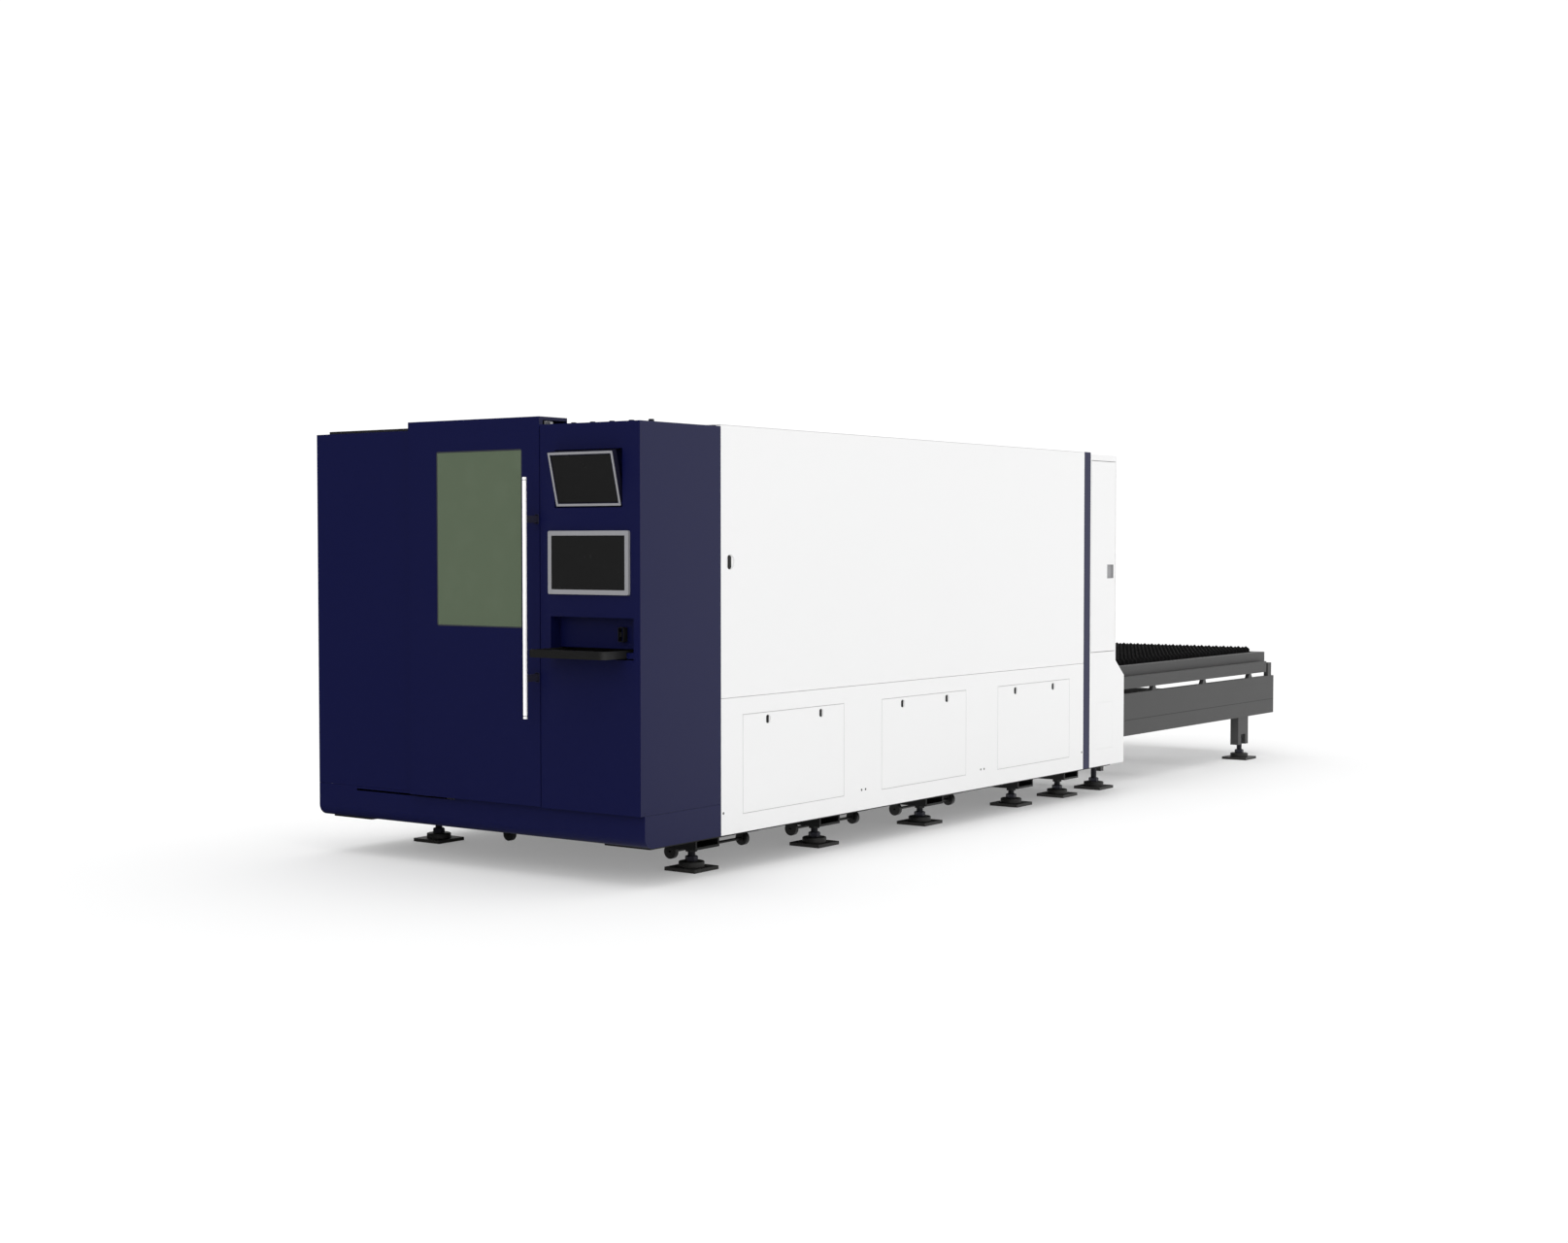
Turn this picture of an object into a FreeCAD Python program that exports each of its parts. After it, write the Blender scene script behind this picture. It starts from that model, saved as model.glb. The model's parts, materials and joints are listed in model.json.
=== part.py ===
import FreeCAD, Part
import math
import os

from FreeCAD import Vector

# Fiber laser cutting machine with a covered cabin and a shuttle table behind it.
# Everything is drawn from the front face of the plinth (y = 0), the middle of the
# cabin (x = 0) and the floor (z = 0), in millimetres.  save() moves it back by half
# its length, so that the origin lies at the bottom centre of the whole machine.

# ---- driving dimensions: plan ----
HALF_W = 1100.0          # half the width of the cabin
CABIN_D = 577.0          # front cabin, front to back
BAY = 1245.0             # pitch of the side bays
BAYS = 3
ARCH_L = 84.0            # dark arch behind the bays
REAR_L = 355.0           # rear hood at roof level
FLARE = 120.0            # how far the rear hood grows at the bottom
TABLE_END = 7810.0       # rear end of the shuttle table
FACE_OUT = 30.0          # control cabinet and door stand this far before the plinth

# ---- driving dimensions: heights ----
FRAME_Z = 180.0          # underside of the bed
SKIRT_Z = 192.0          # underside of the cladding
LEDGE_Z = 347.0          # underside of the door and of the control cabinet
SILL_Z = 361.0           # top of the plinth
SEAM_Z = 857.0           # seam between lower and upper side cladding
BED_Z = 900.0            # top of the bed beams
FRONT_Z = 2170.0         # roof of the front cabin
ROOF_Z = FRONT_Z + 10.0  # roof over the bays
HOOD_UP = 40.0           # door hood above the front roof

# ---- sheet metal and clearances ----
SHEET = 2.5
DOOR_SHEET = 2.0
PANEL_D = 30.0           # folded depth of the side cladding
JOIN = 1.0               # seam between neighbouring panels
DOOR_GAP = 3.5           # gap round a hinged door
RUN = 0.05               # radial running clearance of a pin in its bore
SLIDE = 0.3              # clearance of sliding pieces

# ---- lengthwise stations, worked out from the plan ----
BAYS_END = CABIN_D + BAYS * BAY
ARCH_END = BAYS_END + ARCH_L
HOOD_END = ARCH_END + REAR_L
BACK_END = HOOD_END + FLARE
BORDERS = [CABIN_D + i * BAY for i in range(BAYS + 1)]

# ---- bed ----
BED_IN = HALF_W - 204.0  # inner faces of the bed beams
BED_OUT = HALF_W - PANEL_D
TUBE_IN = HALF_W - 310.0 # inner faces of the lower side tubes
LOW_TUBE_H = 100.0
HIGH_TUBE_Z = 660.0
TUBE_WALL = 8.0
POST_L = 100.0
BED_FRONT = CABIN_D + 23.0
BED_REAR = HOOD_END - 11.0

# ---- legs and feet ----
FOOT_X = HALF_W - 230.0
FIRST_FOOT = CABIN_D + 60.0
FOOT_PITCH = BAY - 188.0
BED_FEET = [FIRST_FOOT + i * FOOT_PITCH for i in range(BAYS + 1)] + [ARCH_END + 3.0]
LEG_W = 200.0
LEG_D = 190.0
LEG_Z = 114.0
LEG_WALL = 12.0
FOOT_SIDE = 190.0
FOOT_T = 18.0
DISC_R = 63.0
DISC_T = 12.0
SCREW_R = 18.0
NUT_AF = 55.0
NUT_T = 22.0

# ---- plinth ----
PLINTH_R = 55.0
LIP = 70.0

# ---- control cabinet ----
CAB_X = HALF_W - 615.0
MONITOR_X = (CAB_X + 102.0, CAB_X + 499.0)
MONITOR_Z = FRONT_Z - 386.0
MONITOR_H = 258.0
MONITOR_T = 30.0
MONITOR_LEAN = 14.2
MONITOR_ROOM = (MONITOR_X[0] - 10.0, MONITOR_X[1] + 10.0, MONITOR_Z - 10.0, MONITOR_Z + MONITOR_H + 4.0, 48.0)
MONITOR_PIN_R = 5.0
PIN_UP = 12.0            # pivot pin, from the monitor's lower edge and from its face
LOW_MONITOR = (CAB_X + 60.0, CAB_X + 555.0, FRONT_Z - 802.0, FRONT_Z - 504.0)
LOW_MONITOR_T = 14.0
NICHE = (CAB_X + 65.0, CAB_X + 575.0, FRONT_Z - 1102.0, FRONT_Z - 908.0)
TRAY = (NICHE[0] + 5.0, NICHE[1] - 45.0, NICHE[2] + 7.0, NICHE[2] + 44.0)
NICHE_BACK = 40.0        # back panel of the niche above the tray
TRAY_OUT = 170.0
TRAY_L = 330.0
TRAY_TRAVEL = 155.0
TRAY_FLOOR = 10.0
NICHE_D = TRAY_L + TRAY_TRAVEL - FACE_OUT - TRAY_OUT + 5.0
KEYBOARD_T = 16.0

# ---- front door ----
DOOR_X = (CAB_X - 885.0, CAB_X - 5.0)
DOOR_BACK_Y = -4.0
DOOR_TRAVEL = DOOR_X[0] + HALF_W - 60.0
DOORWAY = (DOOR_X[0] + 48.0, DOOR_X[1] - 40.0)
HOOD_D = 200.0
WINDOW = (DOOR_X[0] + 195.0, DOOR_X[1] - 112.0, FRONT_Z - 970.0, FRONT_Z - 111.0)
WINDOW_R = 12.0
GLASS_T = 6.0
GLASS_LAP = 14.0
HANDLE_R = 10.0
HANDLE_X = DOOR_X[1] - 17.0
HANDLE_Y = -115.0
HANDLE_Z = (775.0, FRONT_Z - 250.0)
BRACKET_ZS = (HANDLE_Z[0] + 193.0, HANDLE_Z[1] - 198.0)
BRACKET_W = 16.0
BRACKET_H = 34.0
CARRIAGE_XS = (DOOR_X[0] + 100.0, DOOR_X[1] - 100.0)
RAIL_Y = 80.0
RAIL_W = 20.0
RAIL_H = 18.0
TONGUE_X = DOOR_X[0] + 250.0    # floor guide, behind the door's left half
TONGUE_HALF = 20.0
SLOT_X = (TONGUE_X - TONGUE_HALF - DOOR_TRAVEL - 10.0, TONGUE_X + TONGUE_HALF + 10.0)
SLOT_Z = (338.0, 348.0)

# ---- roof ----
BOLT_PITCH = 120.0
BOLT_Y = 150.0
BOLT_H = 17.0
BOLT_AF = 24.0

# ---- side doors and latches ----
DOOR_W = 880.0
SIDE_DOOR_Z = (285.0, 768.0)
SIDE_DOOR_D = 15.0
RIM_D = 12.0
LATCH_Z = SIDE_DOOR_Z[1] - 33.5
LATCH_OFF = 232.0
LATCH_DISH_R = 22.0
LATCH_DEPTH = 5.0
LATCH_FLOOR = 1.5
LATCH_SHAFT_R = 5.0
CAM_REACH = 45.0
PANEL_LATCH = (CABIN_D + 73.0, 1516.5, 36.0)
PIVOT_IN = 5.0
PIVOT_R = 2.5
LUG_L = 12.0
LUG_H = 6.0
PIN_IN = 8.0

# ---- rear hood ----
HOOD_TOP = ROOF_Z - 11.0
BREAK_Z = (SEAM_Z - 100.0, SEAM_Z)
MOUTH = (HALF_W - 190.0, 445.0, 880.0)
LOW_COVER = (ARCH_END + 81.0, HOOD_END - 36.0, 300.0, 597.0)
REAR_DOOR = (ARCH_END + 15.5, HOOD_END - 14.5, 922.0, HOOD_TOP - 41.0)
GRIP = (HOOD_END - 124.0, HOOD_END - 36.0, 1386.0, 1474.0)
GRIP_D = 9.0

# ---- pallets and rails ----
PALLET_HALF = HALF_W - 250.0
PALLET_L = 3150.0
PALLET_Y = TABLE_END - 60.0 - PALLET_L
PALLET_IN_Y = CABIN_D + 463.0
PALLET_TRAVEL = PALLET_Y - PALLET_IN_Y
PALLET_Z = 708.0
PALLET_H = 73.0
PALLET_BAR = 60.0
CROSS_H = 30.0
LEVEL_DROP = 161.0
SLAT_PITCH = 60.0
SLAT_N = 49
SLAT_T = 4.0
SLAT_H = 88.0
TOOTH = 20.0
TOOTH_PITCH = 60.0
RAIL_CH_H = 82.0
RAIL_CH_T = 8.0
RAIL_CH_IN = BED_IN - 34.0
RAIL_CH_Z = PALLET_Z - 77.0
WEB_X = BED_IN - RAIL_CH_T
BED_RAILS = (CABIN_D + 423.0, BACK_END - 11.0)
WHEEL_W = 18.0
WHEEL_IN = 4.0           # how far a pallet wheel stands inside its rail
PALLET_WHEEL_R = RAIL_CH_H / 2.0 - RAIL_CH_T - SLIDE
PALLET_WHEELS = (150.0, 1000.0, PALLET_L - 1000.0, PALLET_L - 150.0)
LUG_DROP = 58.0
LUG_T = 10.0

# ---- shuttle table ----
TABLE_FRONT = BACK_END + 9.0
BEAM_Z = (315.0, RAIL_CH_Z - 31.0)
BEAM_WEB = 4.0
BRACKET_N = 4
BRACKET_ENDS = (TABLE_FRONT + 50.0, TABLE_END - 430.0)
STOP_Y = (TABLE_END - 108.0, TABLE_END - 46.0)
STOP_Z = RAIL_CH_Z + 69.0
CROSS_L = 80.0
CROSS_Z = (323.0, 460.0)
CROSS_SHARES = (0.0, 0.309, 0.639, 1.0)
CROSS_YS = [TABLE_FRONT + share * (TABLE_END - CROSS_L - TABLE_FRONT) for share in CROSS_SHARES]
TABLE_LEGS = (
    (TABLE_FRONT + 4.0, TABLE_FRONT + 114.0, TABLE_FRONT + 34.0),
    (TABLE_END - 641.0, TABLE_END - 461.0, TABLE_END - 551.0),
)
TABLE_LEG_X = (BED_IN - 64.0, BED_IN - 2.0)
TABLE_LEG_Z = 110.0
TABLE_CUT_H = 76.0
DRIVE_Y = TABLE_END - 160.0
DRIVE_Z = 400.0
DRIVE_R = 15.0
MOTOR_R = 58.0

# ---- gantry and cutting head ----
GANTRY_Y = CABIN_D + 323.0
GANTRY_D = 240.0
GANTRY_Z = (960.0, 1180.0)
GANTRY_HALF = HALF_W - 95.0
GUIDE_X = HALF_W - 155.0
GUIDE_W = 25.0
GUIDE_H = 25.0
GUIDE_YS = (CABIN_D + 63.0, BAYS_END - 12.0)
RACK_X = (GUIDE_X + 40.0, GUIDE_X + 65.0)
X_RAIL_ZS = (1000.0, 1140.0)
X_RAIL = 20.0
X_RAIL_HALF = GANTRY_HALF - 105.0
PLATE_T = 20.0
Z_RAIL_XS = (-60.0, 60.0)
Z_RAIL = 15.0
HEAD_R = 40.0
NOZZLE_TIP_Z = 922.0

# ---- slag carts ----
CART_YS = [(a + b) / 2.0 for a, b in zip(BED_FEET[:BAYS], BED_FEET[1:])]
CART_HALF_X = HALF_W - 460.0
CART_HALF_Y = FOOT_PITCH / 2.0 - 188.5
CART_Z = (80.0, 160.0)
CART_WHEEL_R = 37.5
CART_WHEEL_X = CART_HALF_X - 80.0
CART_WHEEL_Y = CART_HALF_Y - 37.5
CART_WHEEL_W = 25.0
CART_AXLE_R = 8.0

# ---- the whole machine ----
FRONT_MOST = -FACE_OUT - TRAY_OUT
MIDDLE_Y = (TABLE_END + FRONT_MOST) / 2.0


# ---- small helpers ----
def box(x0, x1, y0, y1, z0, z1):
    return Part.makeBox(x1 - x0, y1 - y0, z1 - z0, Vector(x0, y0, z0))


def rod_x(x0, x1, y, z, r):
    return Part.makeCylinder(r, x1 - x0, Vector(x0, y, z), Vector(1, 0, 0))


def rod_y(x, y0, y1, z, r):
    return Part.makeCylinder(r, y1 - y0, Vector(x, y0, z), Vector(0, 1, 0))


def rod_z(x, y, z0, z1, r):
    return Part.makeCylinder(r, z1 - z0, Vector(x, y, z0), Vector(0, 0, 1))


def hexagon_z(x, y, z0, height, across_flats):
    """Hexagonal prism standing on z0."""
    reach = across_flats / math.sqrt(3.0)
    corners = [Vector(x + reach * math.cos(math.pi * k / 3.0), y + reach * math.sin(math.pi * k / 3.0), z0)
               for k in range(6)]
    face = Part.Face(Part.makePolygon(corners + corners[:1]))
    return face.extrude(Vector(0, 0, height))


def profile_x(points, x0, x1):
    """Prism along X with its section given as (y, z) points."""
    corners = [Vector(x0, y, z) for y, z in points]
    face = Part.Face(Part.makePolygon(corners + corners[:1]))
    return face.extrude(Vector(x1 - x0, 0, 0))


def tube_x(x0, x1, y0, y1, z0, z1, wall=TUBE_WALL):
    return box(x0, x1, y0, y1, z0, z1).cut(box(x0, x1, y0 + wall, y1 - wall, z0 + wall, z1 - wall))


def tube_y(x0, x1, y0, y1, z0, z1, wall=TUBE_WALL):
    return box(x0, x1, y0, y1, z0, z1).cut(box(x0 + wall, x1 - wall, y0, y1, z0 + wall, z1 - wall))


def tube_z(x0, x1, y0, y1, z0, z1, wall=TUBE_WALL):
    return box(x0, x1, y0, y1, z0, z1).cut(box(x0 + wall, x1 - wall, y0 + wall, y1 - wall, z0, z1))


def fuse(solids):
    """One clean solid from pieces that touch or overlap."""
    return solids[0].multiFuse(solids[1:]).removeSplitter()


def mirrored(shape):
    return shape.mirror(Vector(0, 0, 0), Vector(1, 0, 0))


def both_sides(solids):
    return solids + [mirrored(solid) for solid in solids]


def moved(shape, dx=0.0, dy=0.0, dz=0.0):
    copy = shape.copy()
    copy.translate(Vector(dx, dy, dz))
    return copy


def save(node, solids):
    """Write one node, moved back so that the machine is centred on the origin."""
    shape = Part.makeCompound(solids) if len(solids) > 1 else solids[0].copy()
    shape.translate(Vector(0, -MIDDLE_Y, 0))
    shape.exportStep("parts/%s.step" % node)
    counted = sum(len(solid.Solids) for solid in solids)
    valid = all(solid.isValid() for solid in solids)
    print("%-22s solids %3d  valid %s" % (node, counted, valid))


# ---- bed, legs and feet ----
def base_frame():
    solids = []
    side = [
        tube_y(TUBE_IN, BED_OUT, 75.0, BED_REAR, FRAME_Z, FRAME_Z + LOW_TUBE_H),
        tube_y(BED_IN, BED_OUT, BED_FRONT, BED_REAR, HIGH_TUBE_Z, BED_Z),
    ]
    post_ends = [BED_FRONT, BORDERS[1] - POST_L / 2.0, BORDERS[2] - POST_L / 2.0,
                 BAYS_END - POST_L, BED_REAR - POST_L]
    for y in post_ends:
        side.append(tube_z(BED_IN, BED_OUT, y, y + POST_L, FRAME_Z + LOW_TUBE_H, HIGH_TUBE_Z))
    solids += both_sides(side)
    for y in BED_FEET:
        solids.append(tube_x(-TUBE_IN, TUBE_IN, y - POST_L / 2.0, y + POST_L / 2.0,
                             FRAME_Z, FRAME_Z + LOW_TUBE_H))
    solids.append(tube_x(-BED_IN, BED_IN, BED_FRONT, BED_FRONT + POST_L, 400.0, 560.0))
    solids.append(tube_x(-BED_IN, BED_IN, BED_REAR - POST_L, BED_REAR, 300.0, 420.0))
    save("base_frame", solids)


def cabin_frame():
    """Square tubes that carry the roof and the upper side panels."""
    section = 50.0
    top = ROOF_Z - 3.0
    side = [tube_y(BED_OUT - section, BED_OUT, CABIN_D + 3.0, BAYS_END, top - section, top, 3.0)]
    cross = []
    for i, border in enumerate(BORDERS):
        y = border + 3.0 if i == 0 else border - section / 2.0
        if i == len(BORDERS) - 1:
            y = border - section
        side.append(tube_z(BED_OUT - section, BED_OUT, y, y + section, BED_Z, top - section, 3.0))
        cross.append(tube_x(-BED_OUT + section, BED_OUT - section, y, y + section, top - section, top, 3.0))
    save("cabin_frame", both_sides(side) + cross)


def leg_boxes():
    """Leg boxes under the lower tubes, each with an access window to its screw."""
    solids = []
    for y in BED_FEET:
        leg = box(FOOT_X - LEG_W / 2, FOOT_X + LEG_W / 2, y - LEG_D / 2, y + LEG_D / 2, LEG_Z, FRAME_Z)
        room = box(FOOT_X - LEG_W / 2 + LEG_WALL, FOOT_X + LEG_W / 2 + LEG_WALL,
                   y - LEG_D / 2 + LEG_WALL, y + LEG_D / 2 - LEG_WALL, LEG_Z + LEG_WALL, FRAME_Z - LEG_WALL)
        hole = rod_z(FOOT_X, y, LEG_Z - 1.0, LEG_Z + LEG_WALL + 1.0, SCREW_R + RUN)
        solids.append(leg.cut(room).cut(hole))
    save("leg_boxes", both_sides(solids))


def foot_places():
    """Centre of each foot with the height of the face that its lock nut meets."""
    places = [(FOOT_X, y, LEG_Z) for y in BED_FEET]
    leg_mid = sum(TABLE_LEG_X) / 2.0
    places += [(leg_mid, y, TABLE_LEG_Z + TABLE_CUT_H) for _, _, y in TABLE_LEGS]
    return places


def foot_plates():
    solids = []
    for x, y, _ in foot_places():
        plate = box(x - FOOT_SIDE / 2, x + FOOT_SIDE / 2, y - FOOT_SIDE / 2, y + FOOT_SIDE / 2, 0.0, FOOT_T)
        disc = rod_z(x, y, FOOT_T, FOOT_T + DISC_T, DISC_R)
        solids.append(fuse([plate, disc]))
    save("foot_plates", both_sides(solids))


def foot_screws():
    solids = []
    for x, y, seat in foot_places():
        screw = rod_z(x, y, FOOT_T + DISC_T, seat + 40.0, SCREW_R)
        nut = hexagon_z(x, y, seat - NUT_T, NUT_T, NUT_AF)
        solids.append(fuse([screw, nut]))
    save("foot_screws", both_sides(solids))


# ---- front cabin ----


def front_plinth():
    """Lower front skirt: a front sheet rolled under at the floor side, and two side walls."""
    outer = box(-HALF_W, HALF_W, 0.0, CABIN_D - JOIN, SKIRT_Z, SILL_Z - JOIN)
    outer = outer.makeFillet(PLINTH_R, [e for e in outer.Edges if front_bottom(e, 0.0, SKIRT_Z)])
    inner = box(-HALF_W + SHEET, HALF_W - SHEET, SHEET, CABIN_D + LIP, SKIRT_Z + SHEET, SILL_Z + LIP)
    inner = inner.makeFillet(PLINTH_R - SHEET,
                             [e for e in inner.Edges if front_bottom(e, SHEET, SKIRT_Z + SHEET)])
    shell = outer.cut(inner)
    shell = shell.cut(box(-HALF_W + SHEET, HALF_W - SHEET, LIP, CABIN_D, SKIRT_Z - 1.0, SKIRT_Z + 2 * SHEET))
    shell = shell.cut(box(-HALF_W - 1.0, HALF_W + 1.0, SHEET, CABIN_D, LEDGE_Z - JOIN, SILL_Z))
    slot = box(SLOT_X[0], SLOT_X[1], -1.0, SHEET + 1.0, SLOT_Z[0], SLOT_Z[1])
    flange = box(BED_OUT, HALF_W - SHEET, CABIN_D - JOIN - SHEET, CABIN_D - JOIN, SKIRT_Z, LEDGE_Z - JOIN)
    save("front_plinth", [fuse([shell.cut(slot)] + both_sides([flange]))])


def front_bottom(edge, y, z):
    """True for the edge along X that lies at the given y and z."""
    low = edge.BoundBox
    flat = low.YLength < 0.01 and low.ZLength < 0.01
    return flat and abs(low.YMin - y) < 0.01 and abs(low.ZMin - z) < 0.01


def front_left_panel():
    top = FRONT_Z - SHEET
    front = box(-HALF_W, DOORWAY[0], 0.0, SHEET, SILL_Z, top)
    side = box(-HALF_W, -HALF_W + SHEET, SHEET, CABIN_D - JOIN, LEDGE_Z, top)
    jamb = box(DOORWAY[0] - SHEET, DOORWAY[0], 0.0, 60.0, SILL_Z, top)
    save("front_left_panel", [fuse([front, side, jamb])])


def front_roof():
    low = FRONT_Z - SHEET
    sheet = box(-HALF_W, HALF_W, 0.0, CABIN_D - JOIN, low, FRONT_Z)
    brow = box(CAB_X, HALF_W, -FACE_OUT, 0.0, low, FRONT_Z)
    save("front_roof", [fuse([sheet, brow])])


def tray_liner(x0, x1, y0, y1, z0, z1, wall):
    """Recess folded from sheet: open towards the front."""
    outer = box(x0 - wall, x1 + wall, y0, y1 + wall, z0 - wall, z1 + wall)
    return outer.cut(box(x0, x1, y0 - 1.0, y1, z0, z1))


def control_cabinet():
    """Right-hand housing: walls, monitor recess, keyboard niche and the monitor's pivot pin."""
    front = -FACE_OUT
    top = FRONT_Z - SHEET
    back = CABIN_D - JOIN
    shell = box(CAB_X, HALF_W, front, back, SILL_Z, top)
    shell = shell.cut(box(CAB_X + SHEET, HALF_W - SHEET, front + SHEET, back + 1.0,
                          SILL_Z + SHEET, top + 1.0))
    apron = box(CAB_X, HALF_W, front, front + SHEET, LEDGE_Z, SILL_Z)
    ledge = box(CAB_X, HALF_W, front, -JOIN, LEDGE_Z, LEDGE_Z + SHEET)
    cheek = box(HALF_W - SHEET, HALF_W, SHEET, back, LEDGE_Z, SILL_Z)
    nose = box(HALF_W - SHEET, HALF_W, front, -JOIN, LEDGE_Z, SILL_Z)
    jamb = box(DOORWAY[1], CAB_X, 0.0, SHEET, SILL_Z, top)
    body = fuse([shell, apron, ledge, cheek, nose, jamb])
    x0, x1, z0, z1, depth = MONITOR_ROOM
    body = body.cut(box(x0, x1, front - 1.0, front + SHEET + 1.0, z0, z1))
    body = body.cut(box(NICHE[0], NICHE[1], front - 1.0, front + SHEET + 1.0, NICHE[2], NICHE[3]))
    monitor_room = tray_liner(x0, x1, front + SHEET, depth, z0, z1, DOOR_SHEET)
    niche = tray_liner(NICHE[0], NICHE[1], front + SHEET, NICHE_D, NICHE[2], NICHE[3], DOOR_SHEET)
    runners = [
        box(NICHE[0], TRAY[0] - SLIDE, front + SHEET, NICHE_D, TRAY[2], TRAY[3] - 10.0),
        box(TRAY[1] + SLIDE, NICHE[1], front + SHEET, NICHE_D, TRAY[2], TRAY[3] - 10.0),
    ]
    panel = box(NICHE[0], NICHE[1], NICHE_BACK, NICHE_BACK + DOOR_SHEET, TRAY[3] + 4.0, NICHE[3])
    pin = rod_x(x0, x1, front + PIN_UP, MONITOR_Z + PIN_UP, MONITOR_PIN_R)
    save("control_cabinet", [fuse([body, monitor_room, niche, panel] + runners), pin])


def upper_monitor():
    """Monitor that leans out of its recess, pivoting about its lower front edge."""
    hinge_y = -FACE_OUT
    case = box(MONITOR_X[0], MONITOR_X[1], hinge_y, hinge_y + MONITOR_T, MONITOR_Z, MONITOR_Z + MONITOR_H)
    screen = box(MONITOR_X[0] + 16.0, MONITOR_X[1] - 16.0, hinge_y - 1.0, hinge_y + 1.5,
                 MONITOR_Z + 16.0, MONITOR_Z + MONITOR_H - 16.0)
    case = case.cut(screen)
    case = case.cut(rod_x(MONITOR_X[0] - 1.0, MONITOR_X[1] + 1.0, hinge_y + PIN_UP, MONITOR_Z + PIN_UP,
                          MONITOR_PIN_R + RUN))
    case.rotate(Vector(0, hinge_y + PIN_UP, MONITOR_Z + PIN_UP), Vector(1, 0, 0), MONITOR_LEAN)
    save("upper_monitor", [case])


def lower_monitor():
    x0, x1, z0, z1 = LOW_MONITOR
    case = box(x0, x1, -FACE_OUT - LOW_MONITOR_T, -FACE_OUT, z0, z1)
    edges = [e for e in case.Edges if e.BoundBox.YLength > LOW_MONITOR_T - 0.1]
    case = case.makeFillet(8.0, edges)
    screen = box(x0 + 22.0, x1 - 22.0, -FACE_OUT - LOW_MONITOR_T - 1.0, -FACE_OUT - LOW_MONITOR_T + 2.0,
                 z0 + 22.0, z1 - 22.0)
    save("lower_monitor", [case.cut(screen)])


def keyboard_tray():
    """Pull-out shelf with a shallow well for the keyboard."""
    x0, x1, z0, z1 = TRAY
    front = -FACE_OUT - TRAY_OUT
    slab = box(x0, x1, front, front + TRAY_L, z0, z1)
    corners = [e for e in slab.Edges if e.BoundBox.ZLength > 1.0 and e.BoundBox.YMin < front + 1.0]
    slab = slab.makeFillet(25.0, corners)
    well = box(x0 + 12.0, x1 - 12.0, front + 14.0, front + TRAY_L - 12.0, z0 + TRAY_FLOOR, z1 + 1.0)
    save("keyboard_tray", [slab.cut(well)])


def keyboard():
    x0, x1, z0, _ = TRAY
    front = -FACE_OUT - TRAY_OUT + 18.0
    board = box(x0 + 20.0, x1 - 20.0, front, front + 140.0, z0 + TRAY_FLOOR, z0 + TRAY_FLOOR + KEYBOARD_T)
    edges = [e for e in board.Edges if e.BoundBox.ZLength > 1.0]
    save("keyboard", [board.makeFillet(6.0, edges)])


# ---- front door ----
def door_panel():
    """Sliding door: a folded pan with a window opening, and the hood that hides its carriages."""
    x0, x1 = DOOR_X
    front = -FACE_OUT
    top = FRONT_Z + HOOD_UP
    pan = box(x0, x1, front, DOOR_BACK_Y, LEDGE_Z + 3.0, top)
    pan = pan.cut(box(x0 + SHEET, x1 - SHEET, front + SHEET, 0.0, LEDGE_Z + 3.0 + SHEET, top - SHEET))
    lid = box(x0, x1, front, front + HOOD_D, top - SHEET, top)
    back_z = FRONT_Z + 4.0
    hood_back = box(x0, x1, front + HOOD_D - SHEET, front + HOOD_D, back_z, top)
    cheek_z = FRONT_Z + 24.0
    cheeks = [box(x, x + SHEET, front, front + HOOD_D, cheek_z, top) for x in (x0, x1 - SHEET)]
    body = fuse([pan, lid, hood_back] + cheeks)
    wx0, wx1, wz0, wz1 = WINDOW
    hole = box(wx0, wx1, front - 1.0, front + SHEET + 1.0, wz0, wz1)
    edges = [e for e in hole.Edges if e.BoundBox.YLength > 1.0]
    body = body.cut(hole.makeFillet(WINDOW_R, edges))
    save("door_panel", [body])


def door_window():
    wx0, wx1, wz0, wz1 = WINDOW
    y = -FACE_OUT + SHEET
    glass = box(wx0 - GLASS_LAP, wx1 + GLASS_LAP, y, y + GLASS_T, wz0 - GLASS_LAP, wz1 + GLASS_LAP)
    save("door_window", [glass])


def door_handle():
    bar = rod_z(HANDLE_X, HANDLE_Y, HANDLE_Z[0], HANDLE_Z[1], HANDLE_R)
    save("door_handle", [bar.makeFillet(3.0, [e for e in bar.Edges if e.BoundBox.ZLength < 0.01])])


def handle_brackets():
    """Two flat arms from the door to the back of the bar."""
    solids = []
    for z in BRACKET_ZS:
        arm = box(HANDLE_X - BRACKET_W / 2, HANDLE_X + BRACKET_W / 2, HANDLE_Y, -FACE_OUT,
                  z - BRACKET_H / 2, z + BRACKET_H / 2)
        bore = rod_z(HANDLE_X, HANDLE_Y, z - BRACKET_H, z + BRACKET_H, HANDLE_R + RUN)
        solids.append(arm.cut(bore))
    save("handle_brackets", solids)


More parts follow.
